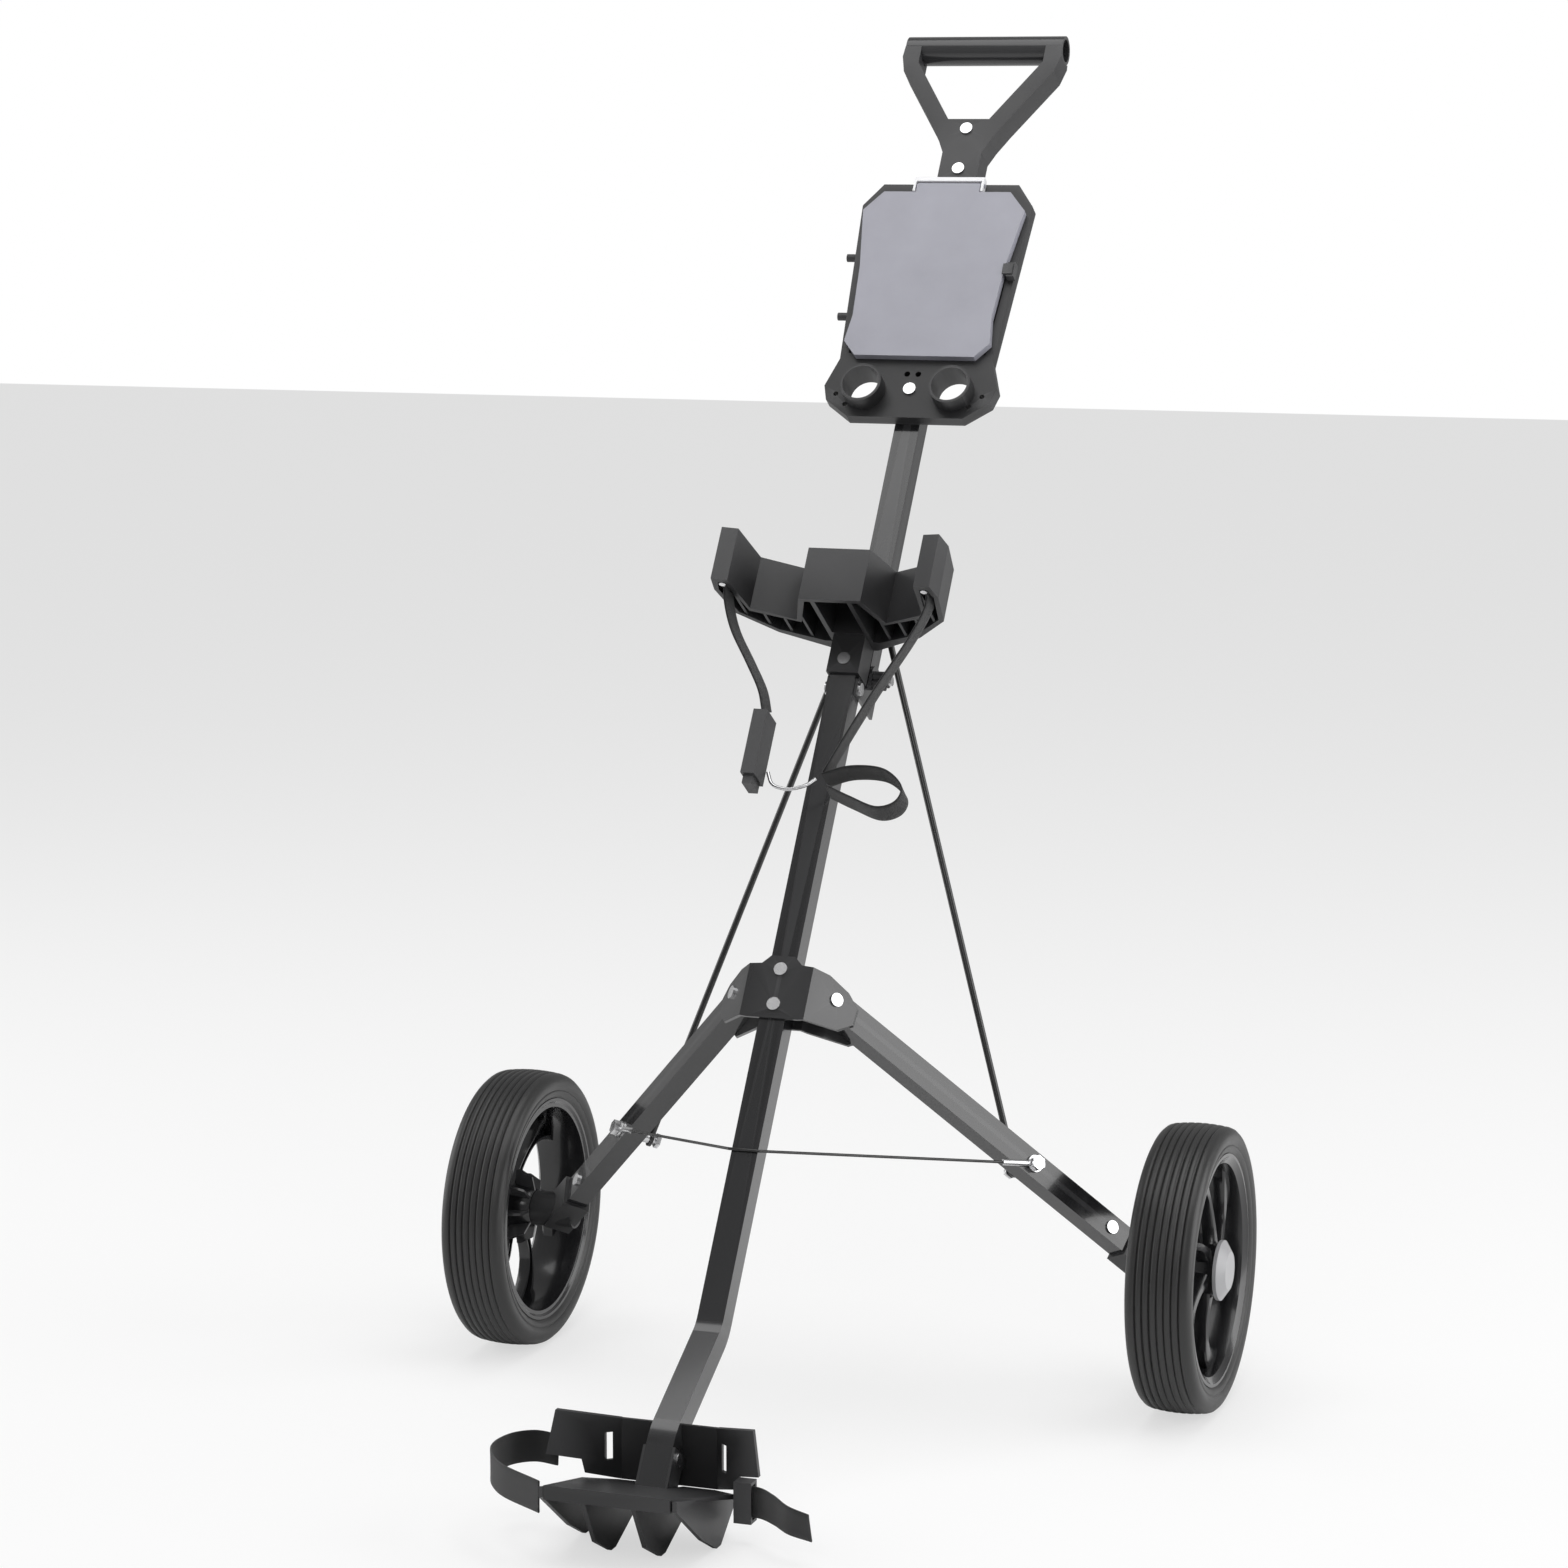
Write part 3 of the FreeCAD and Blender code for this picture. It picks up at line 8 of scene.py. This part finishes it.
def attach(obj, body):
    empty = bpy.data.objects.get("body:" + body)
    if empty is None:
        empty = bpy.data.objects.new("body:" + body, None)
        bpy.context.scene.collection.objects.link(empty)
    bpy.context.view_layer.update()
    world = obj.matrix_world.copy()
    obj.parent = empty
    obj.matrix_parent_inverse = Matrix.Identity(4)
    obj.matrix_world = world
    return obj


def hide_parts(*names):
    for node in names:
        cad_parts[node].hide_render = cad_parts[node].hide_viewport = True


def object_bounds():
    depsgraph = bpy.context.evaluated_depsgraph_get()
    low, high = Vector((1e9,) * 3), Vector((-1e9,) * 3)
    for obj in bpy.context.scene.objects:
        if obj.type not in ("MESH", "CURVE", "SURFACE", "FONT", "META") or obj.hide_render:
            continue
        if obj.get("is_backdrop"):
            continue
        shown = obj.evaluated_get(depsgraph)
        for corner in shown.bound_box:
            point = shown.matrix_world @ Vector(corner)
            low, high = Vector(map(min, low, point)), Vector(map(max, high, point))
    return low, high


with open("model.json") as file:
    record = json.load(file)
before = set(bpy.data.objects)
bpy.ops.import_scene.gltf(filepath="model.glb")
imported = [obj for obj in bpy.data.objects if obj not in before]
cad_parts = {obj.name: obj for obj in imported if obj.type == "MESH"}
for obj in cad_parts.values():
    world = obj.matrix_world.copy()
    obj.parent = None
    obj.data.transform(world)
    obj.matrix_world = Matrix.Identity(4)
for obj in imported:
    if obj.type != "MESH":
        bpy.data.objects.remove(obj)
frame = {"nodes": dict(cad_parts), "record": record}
CAD_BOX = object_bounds()
NODES = frame["nodes"]
MM = 0.001

# ---------------------------------------------------------------- the cart's frames
LEAN, SPREAD, SPLAY = 34.0, 72.7, 49.0
PIVOT_SIDE, PIVOT_BACK = 42.3, 19.1
AXLE_BACK, RADIUS = 79.2, 120.0
REACH, CABLE_REACH, LEG_DEEP = 362.4, 223.8, 18.0
WHEEL_OUT = 38.0          # from the leg's foot to the wheel's middle
CRADLE_LOW, STRAP_PIN = 318.0, 87.0
TURN_STEPS, SPOKES, HUB_FINS = 96, 6, 8


def leg_frame():
    """The right leg's frame inside the mast's frame, in mm."""
    turn = Matrix.Rotation(math.radians(SPLAY - 90), 4, "Z")
    tilt = Matrix.Rotation(math.radians(SPREAD), 4, "X")
    return Matrix.Translation((PIVOT_SIDE, PIVOT_BACK, 0)) @ turn @ tilt


def mast_frame():
    """The mast's frame in the row frame, in mm, set so that the wheels stand on the floor."""
    lean = Matrix.Rotation(math.radians(LEAN), 4, Vector((-1, 0, 0)))
    axle = leg_frame() @ Vector((-LEG_DEEP / 2, 0, -REACH))
    at = lean @ axle
    return Matrix.Translation((0, AXLE_BACK - at.y, RADIUS - at.z)) @ lean, axle


MAST, AXLE = mast_frame()
LEG = MAST @ leg_frame()
WHEEL_X = AXLE.x + WHEEL_OUT


def mast(x, y, z):
    return (MAST @ Vector((x, y, z))) * MM


def leg(x, y, z, side=1):
    p = (LEG @ Vector((x, y, z))) * MM
    return Vector((side * p.x, p.y, p.z))


# ---------------------------------------------------------------- materials
def links(tree, *pairs):
    for a, b in pairs:
        tree.links.new(a, b)


def surface(name, colour, rough, metal=0.0, coat=0.0, grain=900.0, bump=0.06, spread=0.25,
            edge_highlight=None, highlight_at=0.56, spec=0.5):
    """Principled material with fine grain, uneven gloss and painted edge highlights: a lighter
    colour mixed onto convex edges.
    """
    m = bpy.data.materials.new(name)
    m.use_nodes = True
    t = m.node_tree
    n = t.nodes
    p = n["Principled BSDF"]
    p.inputs["Metallic"].default_value = metal
    p.inputs["Coat Weight"].default_value = coat
    p.inputs["Coat Roughness"].default_value = 0.06
    p.inputs["Specular IOR Level"].default_value = spec
    co = n.new("ShaderNodeTexCoord")
    fine = n.new("ShaderNodeTexNoise")
    fine.inputs["Scale"].default_value = grain
    fine.inputs["Detail"].default_value = 3
    wide = n.new("ShaderNodeTexNoise")
    wide.inputs["Scale"].default_value = 22
    wide.inputs["Detail"].default_value = 4
    gloss = n.new("ShaderNodeMapRange")
    gloss.inputs["To Min"].default_value = rough * (1 - spread)
    gloss.inputs["To Max"].default_value = rough * (1 + spread)
    tone = n.new("ShaderNodeMix")
    tone.data_type = "RGBA"
    tone.inputs["A"].default_value = (*[c * 0.85 for c in colour], 1)
    tone.inputs["B"].default_value = (*[min(1, c * 1.15) for c in colour], 1)
    b = n.new("ShaderNodeBump")
    b.inputs["Strength"].default_value = bump
    b.inputs["Distance"].default_value = 0.0004
    links(t, (co.outputs["Object"], fine.inputs["Vector"]),
          (co.outputs["Object"], wide.inputs["Vector"]),
          (wide.outputs["Fac"], gloss.inputs["Value"]),
          (gloss.outputs["Result"], p.inputs["Roughness"]),
          (wide.outputs["Fac"], tone.inputs["Factor"]), (fine.outputs["Fac"], b.inputs["Height"]),
          (b.outputs["Normal"], p.inputs["Normal"]))
    out = tone.outputs["Result"]
    # Painted edge highlight: where Pointiness marks a convex edge, the colour is mixed towards the
    # lighter edge colour, as if the edge caught the light.
    if edge_highlight:
        geo = n.new("ShaderNodeNewGeometry")
        edge = n.new("ShaderNodeMapRange")
        edge.inputs["From Min"].default_value = highlight_at
        edge.inputs["From Max"].default_value = highlight_at + 0.06
        lit_edge = n.new("ShaderNodeMix")
        lit_edge.data_type = "RGBA"
        lit_edge.inputs["B"].default_value = (*edge_highlight, 1)
        links(t, (geo.outputs["Pointiness"], edge.inputs["Value"]),
              (edge.outputs["Result"], lit_edge.inputs["Factor"]), (out, lit_edge.inputs["A"]))
        out = lit_edge.outputs["Result"]
    t.links.new(out, p.inputs["Base Color"])
    return m


def webbing(name, colour):
    """Woven strap: ribs across the length and a fine over-and-under weave, laid by UV in mm."""
    m = surface(name, colour, 0.78, grain=2500, bump=0.2, spec=0.3)
    t, n = m.node_tree, m.node_tree.nodes
    p = n["Principled BSDF"]
    p.inputs["Sheen Weight"].default_value = 0.25
    uv = n.new("ShaderNodeUVMap")
    waves = []
    for direction, scale in (("X", 0.52), ("Y", 0.6)):
        w = n.new("ShaderNodeTexWave")
        w.bands_direction = direction
        w.inputs["Scale"].default_value = scale
        w.inputs["Distortion"].default_value = 0.15
        t.links.new(uv.outputs["UV"], w.inputs["Vector"])
        waves.append(w)
    mul = n.new("ShaderNodeMath")
    mul.operation = "MULTIPLY"
    b = n.new("ShaderNodeBump")
    b.inputs["Strength"].default_value = 0.7
    b.inputs["Distance"].default_value = 0.0005
    shade = n.new("ShaderNodeMapRange")
    shade.inputs["To Min"].default_value = 0.55
    shade.inputs["To Max"].default_value = 1.5
    scale = n.new("ShaderNodeMix")
    scale.data_type = "RGBA"
    scale.blend_type = "MULTIPLY"
    scale.inputs["Factor"].default_value = 1
    before = p.inputs["Base Color"].links[0].from_socket
    links(t, (waves[0].outputs["Fac"], mul.inputs[0]), (waves[1].outputs["Fac"], mul.inputs[1]),
          (mul.outputs[0], b.inputs["Height"]), (b.outputs["Normal"], p.inputs["Normal"]),
          (mul.outputs[0], shade.inputs["Value"]), (before, scale.inputs["A"]),
          (shade.outputs["Result"], scale.inputs["B"]),
          (scale.outputs["Result"], p.inputs["Base Color"]))
    return m


def clear(name, colour, alpha, rough):
    """Translucent moulded plastic with faint flow marks."""
    m = surface(name, colour, rough, coat=0.3, grain=300, bump=0.03, spread=0.15)
    p = m.node_tree.nodes["Principled BSDF"]
    p.inputs["Alpha"].default_value = alpha
    return m


# The lighter edge colours given below are painted edge highlights, which surface() mixes onto
# convex edges.
PAINT = surface("gloss_paint", (0.009, 0.009, 0.01), 0.16, coat=0.5, grain=1400, bump=0.03,
                edge_highlight=(0.05, 0.05, 0.052), highlight_at=0.6)
PRESSED = surface("pressed_paint", (0.013, 0.013, 0.014), 0.22, coat=0.3, grain=1100, bump=0.05,
                  edge_highlight=(0.07, 0.07, 0.072), highlight_at=0.6)
STEEL = surface("zinc_steel", (0.62, 0.62, 0.63), 0.24, metal=1.0, grain=1800, bump=0.08,
                edge_highlight=(0.85, 0.85, 0.86))
PLASTIC = surface("moulded_black", (0.017, 0.017, 0.018), 0.42, grain=2200, bump=0.12,
                  edge_highlight=(0.05, 0.05, 0.052), highlight_at=0.58)
GLOSSY = surface("gloss_black", (0.011, 0.011, 0.012), 0.2, coat=0.25, grain=1600, bump=0.04,
                 edge_highlight=(0.04, 0.04, 0.042), highlight_at=0.6)
RUBBER = surface("tyre_rubber", (0.018, 0.018, 0.018), 0.4, grain=1500, bump=0.14,
                 edge_highlight=(0.045, 0.045, 0.045), highlight_at=0.55)
CAP = surface("cap_grey", (0.36, 0.36, 0.37), 0.35, grain=1500, bump=0.08)
WIRE = surface("coated_wire", (0.012, 0.012, 0.012), 0.28, coat=0.2, grain=1800, bump=0.06)
WEB = webbing("woven_strap", (0.011, 0.011, 0.012))
LID = clear("smoked_lid", (0.33, 0.33, 0.38), 0.88, 0.24)
RIM_WHITE = clear("frosted_edge", (0.86, 0.86, 0.89), 0.94, 0.3)

SLOTS = {"frame_paint": PAINT, "bracket_paint": PRESSED, "bright_steel": STEEL,
         "black_plastic": PLASTIC, "gloss_black": GLOSSY, "clear_plastic": RIM_WHITE,
         "webbing": WEB, "black_wire": WIRE, "tyre": RUBBER, "grey_cap": CAP}
for part in frame["record"]["subparts"]:
    shown = NODES[part["node"]]
    for k in range(len(shown.material_slots)):
        shown.material_slots[k].material = SLOTS[part["material_slot"]]


def soften(obj, width=0.6, segments=2, angle=30):
    """Round the edges of a piece so that they catch the light."""
    mod = obj.modifiers.new("Edge", "BEVEL")
    mod.width = width * MM
    mod.segments = segments
    mod.limit_method = "ANGLE"
    mod.angle_limit = math.radians(angle)
    mod.harden_normals = False
    return obj


# ---------------------------------------------------------------- mesh makers
def finish_piece(obj, mat, body, replaces=(), angle=35):
    """Shade, paint and attach a new piece."""
    obj.data.materials.clear()
    obj.data.materials.append(mat)
    for poly in obj.data.polygons:
        poly.use_smooth = True
    obj.data.set_sharp_from_angle(angle=math.radians(angle))
    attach(obj, body)
    if replaces:
        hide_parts(*replaces)
    return obj


def new_object(name, bm):
    bmesh.ops.remove_doubles(bm, verts=bm.verts, dist=1e-6)
    bmesh.ops.recalc_face_normals(bm, faces=bm.faces)
    data = bpy.data.meshes.new(name)
    bm.to_mesh(data)
    bm.free()
    obj = bpy.data.objects.new(name, data)
    bpy.context.scene.collection.objects.link(obj)
    return obj


def lathe(bm, profile, centre, side, steps=TURN_STEPS):
    """Turn a profile of (along, radius) about the X line through centre, in mm."""
    rings = []
    for i in range(steps):
        a = 2 * math.pi * i / steps
        rings.append([bm.verts.new(Vector((centre.x + side * u, centre.y + r * math.cos(a),
                                           centre.z + r * math.sin(a))) * MM)
                      for u, r in profile])
    count = len(profile)
    for i in range(steps):
        one, two = rings[i], rings[(i + 1) % steps]
        for k in range(count):
            quad = [one[k], one[(k + 1) % count], two[(k + 1) % count], two[k]]
            if len(set(v.co.to_tuple(7) for v in quad)) > 2:
                bm.faces.new(quad)


def smooth_path(points, steps=10):
    """Points along a Catmull-Rom line through a few points."""
    pts = [points[0] * 2 - points[1]] + points + [points[-1] * 2 - points[-2]]
    out = []
    for k in range(1, len(pts) - 2):
        a, b, c, d = pts[k - 1:k + 3]
        for s in range(steps):
            t = s / steps
            out.append(0.5 * ((2 * b) + (c - a) * t + (2 * a - 5 * b + 4 * c - d) * t ** 2
                              + (3 * b - a - 3 * c + d) * t ** 3))
    out.append(points[-1])
    return out


def strap(name, points, across, wide, body, replaces, thick=1.7):
    """Webbing through points in m, with rounded selvedges and UVs in mm for its weave."""
    line = smooth_path(points)
    bm = bmesh.new()
    uv = bm.loops.layers.uv.new("UVMap")
    section = [(-0.5, -0.2), (-0.47, -0.5), (-0.3, -0.42), (0, -0.4), (0.3, -0.42), (0.47, -0.5),
               (0.5, -0.2), (0.5, 0.2), (0.47, 0.5), (0.3, 0.42), (0, 0.4), (-0.3, 0.42),
               (-0.47, 0.5), (-0.5, 0.2)]
    rings, far = [], 0.0
    for k, p in enumerate(line):
        ahead = line[min(k + 1, len(line) - 1)] - line[max(k - 1, 0)]
        way = ahead.normalized()
        out = across[0].lerp(across[-1], k / (len(line) - 1)) if len(across) > 1 else across[0]
        out = (out - way * out.dot(way)).normalized()
        up = way.cross(out).normalized()
        if k:
            far += (p - line[k - 1]).length * 1000
        rings.append(([bm.verts.new(p + out * (u * wide * MM) + up * (v * thick * MM))
                       for u, v in section], far))
    for (one, s), (two, e) in zip(rings, rings[1:]):
        for k in range(len(section)):
            j = (k + 1) % len(section)
            face = bm.faces.new([one[k], one[j], two[j], two[k]])
            spots = [(s, section[k][0]), (s, section[j][0]), (e, section[j][0]), (e, section[k][0])]
            for loop, (along, over) in zip(face.loops, spots):
                loop[uv].uv = (along, over * wide)
    bm.faces.new(list(reversed(rings[0][0])))
    bm.faces.new(rings[-1][0])
    obj = new_object(name, bm)
    return finish_piece(obj, WEB, body, replaces, 50)


def rod_mesh(bm, points, radius, steps=12):
    """A round bar through points in m."""
    rings = []
    up = Vector((0.31, 0.2, 0.93))
    for k, p in enumerate(points):
        way = (points[min(k + 1, len(points) - 1)] - points[max(k - 1, 0)]).normalized()
        out = way.cross(up).normalized()
        over = way.cross(out)
        rings.append([bm.verts.new(p + (out * math.cos(a) + over * math.sin(a)) * radius * MM)
                      for a in [2 * math.pi * i / steps for i in range(steps)]])
    for one, two in zip(rings, rings[1:]):
        for k in range(steps):
            bm.faces.new([one[k], one[(k + 1) % steps], two[(k + 1) % steps], two[k]])
    bm.faces.new(list(reversed(rings[0])))
    bm.faces.new(rings[-1])


# ---------------------------------------------------------------- camera, light and stage
camera = bpy.data.objects.new("Camera", bpy.data.cameras.new("Camera"))
bpy.context.scene.collection.objects.link(camera)
camera.location = (1.1438, -3.3622 + AXLE_BACK * MM, 1.061)
camera.rotation_euler = Vector((-0.3327, 0.9305, -0.1535)).to_track_quat("-Z", "Y").to_euler()
camera.data.sensor_width = 36
camera.data.lens = 98.56
bpy.context.scene.camera = camera
bpy.context.scene.view_settings.view_transform = "Standard"


def lamp(name, at, to, size, power):
    light = bpy.data.lights.new(name, "AREA")
    light.shape = "RECTANGLE"
    light.size, light.size_y = size
    light.energy = power
    obj = bpy.data.objects.new(name, light)
    bpy.context.scene.collection.objects.link(obj)
    obj.location = at
    obj.rotation_euler = (Vector(to) - Vector(at)).to_track_quat("-Z", "Y").to_euler()
    return obj


lamp("Top", (0.2, -0.3, 3.2), (0, 0, 0.4), (3.0, 3.0), 55)
lamp("RightPanel", (2.8, 0.5, 1.0), (0, 0, 0.55), (2.6, 2.6), 60)
lamp("LeftPanel", (-2.9, -0.1, 1.0), (0, 0, 0.5), (2.2, 2.4), 32)
lamp("Front", (0.4, -3.6, 2.6), (0, 0, 0.5), (1.6, 1.0), 18)

world = bpy.data.worlds.new("Studio")
bpy.context.scene.world = world
world.use_nodes = True
tree = world.node_tree
back = tree.nodes["Background"]
seen = tree.nodes.new("ShaderNodeLightPath")
level = tree.nodes.new("ShaderNodeMapRange")
level.inputs["To Min"].default_value = 0.35
level.inputs["To Max"].default_value = 1.0
back.inputs["Color"].default_value = (1, 1, 1, 1)
links(tree, (seen.outputs["Is Camera Ray"], level.inputs["Value"]),
      (level.outputs["Result"], back.inputs["Strength"]))

bm = bmesh.new()
bmesh.ops.create_grid(bm, x_segments=1, y_segments=1, size=12)
floor = new_object("Floor", bm)
floor_mat = bpy.data.materials.new("floor_white")
floor_mat.use_nodes = True
t = floor_mat.node_tree
p = t.nodes["Principled BSDF"]
p.inputs["Base Color"].default_value = (0.9, 0.9, 0.9, 1)
p.inputs["Roughness"].default_value = 0.7
glow = t.nodes.new("ShaderNodeEmission")
mix = t.nodes.new("ShaderNodeMixShader")
path = t.nodes.new("ShaderNodeLightPath")
scale = t.nodes.new("ShaderNodeMath")
scale.operation = "MULTIPLY"
scale.inputs[1].default_value = 0.62
out = t.nodes["Material Output"]
links(t, (path.outputs["Is Camera Ray"], scale.inputs[0]), (scale.outputs[0], mix.inputs["Fac"]),
      (p.outputs[0], mix.inputs[1]), (glow.outputs[0], mix.inputs[2]),
      (mix.outputs[0], out.inputs["Surface"]))
floor.data.materials.append(floor_mat)
floor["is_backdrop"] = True

# ---------------------------------------------------------------- wheels


def tyre(side, name):
    """Tyre with a nearly flat grooved tread, round shoulders and a stepped sidewall."""
    tread = []
    for u in range(-21, 22):
        groove = 1.7 if u % 6 == 0 else (0.5 if abs(u) % 6 in (1, 5) else 0)
        tread.append((u, 119.9 - 1.6 * (u / 21) ** 2 - groove))
    right = [(24, 117.3), (26.3, 115.2), (27.6, 112.5), (28, 109.5), (27.4, 106.2), (26.2, 103.8),
             (26.6, 102.6), (26.3, 100.6), (25.2, 98.3), (23.4, 96.4), (23, 93)]
    profile = tread + right + [(-u, r) for u, r in reversed(right)]
    bm = bmesh.new()
    lathe(bm, profile, Vector((side * WHEEL_X, AXLE_BACK, RADIUS)), side, 128)
    obj = new_object("tread_" + name, bm)
    return finish_piece(obj, RUBBER, "wheel_" + name, ["tyre_" + name], 25)


def rim(side, name):
    """Rim: flanged barrel, six curved blade spokes set towards the outside, and a finned hub."""
    centre = Vector((side * WHEEL_X, AXLE_BACK, RADIUS))
    bm = bmesh.new()
    barrel = [(-23, 89), (-23, 92), (-24.6, 94), (-24.6, 96.5), (-23.2, 97.6), (-22.6, 94.9),
              (22.6, 94.9), (23.2, 97.6), (24.6, 96.5), (24.6, 94), (23, 92), (21, 88.5),
              (14, 87), (-16, 87.6)]
    lathe(bm, barrel, centre, side)
    hub = [(-11.9, 7.1), (-11.9, 15), (-9, 17), (2, 19), (9, 21), (21, 22), (22.9, 20.5),
           (22.9, 7.1)]
    lathe(bm, hub, centre, side, 48)

    def spot(u, r, a):
        return bm.verts.new(Vector((centre.x + side * u, centre.y + r * math.cos(a),
                                    centre.z + r * math.sin(a))) * MM)

    for k in range(SPOKES):
        start = math.radians(360 / SPOKES * k + 12)
        rows = []
        for s in range(15):
            f = s / 14
            r = 19 + 69.5 * f
            a = start + math.radians(34) * f ** 1.3 * side
            half = (7.2 - 5.0 * math.sin(math.pi * min(1, f * 1.15)) + 9.5 * f ** 4) / r
            half = max(half, 3.6 / r)
            dish = 6 + 8 * (1 - f) ** 1.5 + 3 * f ** 3
            rows.append([spot(dish + 5, r, a - half * 0.86), spot(dish + 6.2, r, a),
                         spot(dish + 5, r, a + half * 0.86), spot(dish + 3.4, r, a + half),
                         spot(dish - 5, r, a + half), spot(dish - 5, r, a + half * 0.6),
                         spot(dish + 1, r, a + half * 0.5), spot(dish + 1, r, a - half * 0.5),
                         spot(dish - 5, r, a - half * 0.6), spot(dish - 5, r, a - half),
                         spot(dish + 3.4, r, a - half)])
        for one, two in zip(rows, rows[1:]):
            for j in range(11):
                i = (j + 1) % 11
                bm.faces.new([one[j], one[i], two[i], two[j]])
    for k in range(HUB_FINS):
        a = math.radians(360 / HUB_FINS * k)
        lean = Matrix.Translation(centre) @ Matrix.Rotation(a, 4, "X")
        fin = [(-11.6, 15), (-9, 27), (2, 33), (6, 33), (6, 15)]
        front = [bm.verts.new((lean @ Vector((side * u, -1.1, r))) * MM) for u, r in fin]
        rear = [bm.verts.new((lean @ Vector((side * u, 1.1, r))) * MM) for u, r in fin]
        bm.faces.new(front)
        bm.faces.new(list(reversed(rear)))
        for j in range(5):
            i = (j + 1) % 5
            bm.faces.new([front[j], rear[j], rear[i], front[i]])
    obj = new_object("spoked_rim_" + name, bm)
    return finish_piece(obj, GLOSSY, "wheel_" + name, ["rim_" + name], 32)


for side, name in ((1, "right"), (-1, "left")):
    tyre(side, name)
    rim(side, name)

# ---------------------------------------------------------------- straps
def upper_straps():
    """The two bag straps, with the long loop of spare webbing on the right."""
    low = CRADLE_LOW
    across = [(MAST.to_3x3() @ Vector((0, 0.92, 0.39))).normalized()]

    def hang(x, drop, out=11):
        y = -82.7 + 0.388 * drop + 0.922 * out
        return mast(x, y, low + 6 - 0.922 * drop + 0.388 * out)

    strap("strap_left", [hang(-STRAP_PIN, 0), hang(0.5 - STRAP_PIN, 16), hang(-79, 40),
                         hang(-64, 66), hang(-52, 88), hang(-47, 106)], across, 22, "frame",
          ["upper_strap_left"])
    strap("strap_right", [hang(STRAP_PIN, 0), hang(STRAP_PIN - 0.5, 16), hang(74, 42), hang(48, 84),
                          hang(25, 124), hang(8, 155)], across, 22, "frame",
          ["upper_strap_right"])
    side = [(MAST.to_3x3() @ Vector((0, -1, 0.1))).normalized()]
    strap("strap_tail", [mast(9, -15, low - 139), mast(32, -15, low - 131),
                         mast(60, -15, low - 132), mast(78, -15, low - 146),
                         mast(76, -15, low - 160), mast(60, -15, low - 166),
                         mast(36, -15, low - 158), mast(14, -15, low - 149)], side, 22,
          "frame", ["upper_strap_tail"])


def lower_straps():
    """The foot's strap: a loop on the left and a hanging tail on the right."""
    b, h = AXLE_BACK, 57.5
    v = lambda x, y, z: Vector((x, y, z)) * MM
    strap("strap_foot_left", [v(-80, b - 449.5, h), v(-100, b - 449, h + 1), v(-116, b - 462, h),
                              v(-118, b - 490, h - 1), v(-98, b - 520, h - 3),
                              v(-55, b - 547.5, h - 4)], [Vector((0, 0, 1))], 25, "frame",
          ["lower_strap_left"])
    strap("strap_foot_right", [v(62, b - 449.2, 33.5), v(82, b - 449.2, 33.5),
                               v(98, b - 460, 33), v(114, b - 473, 31), v(133.5, b - 479.5, 29)],
          [Vector((0, 0, 1)), Vector((0.1, -0.35, 0.94))], 25, "frame", ["lower_strap_right"])


upper_straps()
lower_straps()

# ---------------------------------------------------------------- spread cable
def cable(side, name):
    """Half of the thin cable that limits the legs' spread."""
    eye = leg(1.6, 0, -CABLE_REACH, side)
    corner = mast(side * 13, -1.55, -140)
    middle = mast(0, -1.55, -140)
    way = (corner - eye).normalized()
    start = eye + way * 0.030
    line = [start.lerp(corner, k / 24) for k in range(24)] + [corner, middle]
    bm = bmesh.new()
    rod_mesh(bm, line, 1.2)
    obj = new_object("wire_" + name, bm)
    finish_piece(obj, WIRE, "frame", ["cable_" + name])


for side, name in ((1, "right"), (-1, "left")):
    cable(side, name)

# ---------------------------------------------------------------- CAD nodes that stay
KEEP_SOFT = {"cradle": 1.2, "foot_bracket": 0.7, "toe_platform": 0.7, "handle_yoke": 1.2,
             "score_tray": 1.0, "score_lid": 0.8, "lower_tube": 2.0, "upper_tube": 2.0,
             "leg_tube_left": 2.0, "leg_tube_right": 2.0, "axle_block_left": 1.5,
             "axle_block_right": 1.5, "lock_knob": 1.0, "cam_buckle": 1.5, "grip": 1.0,
             "bracket_rivets": 1.2, "leg_pivot_pins": 1.2, "handle_rivets": 1.2,
             "tray_bolts": 1.2, "cheek_rivet": 1.2, "foot_bolt": 1.2, "cradle_screw": 1.0}
for name, obj in NODES.items():
    if not obj.hide_render:
        soften(obj, KEEP_SOFT.get(name, 0.5))
for k in range(len(NODES["score_lid"].material_slots)):
    NODES["score_lid"].material_slots[k].material = LID

[list(v) for v in CAD_BOX]
[list(v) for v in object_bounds()]
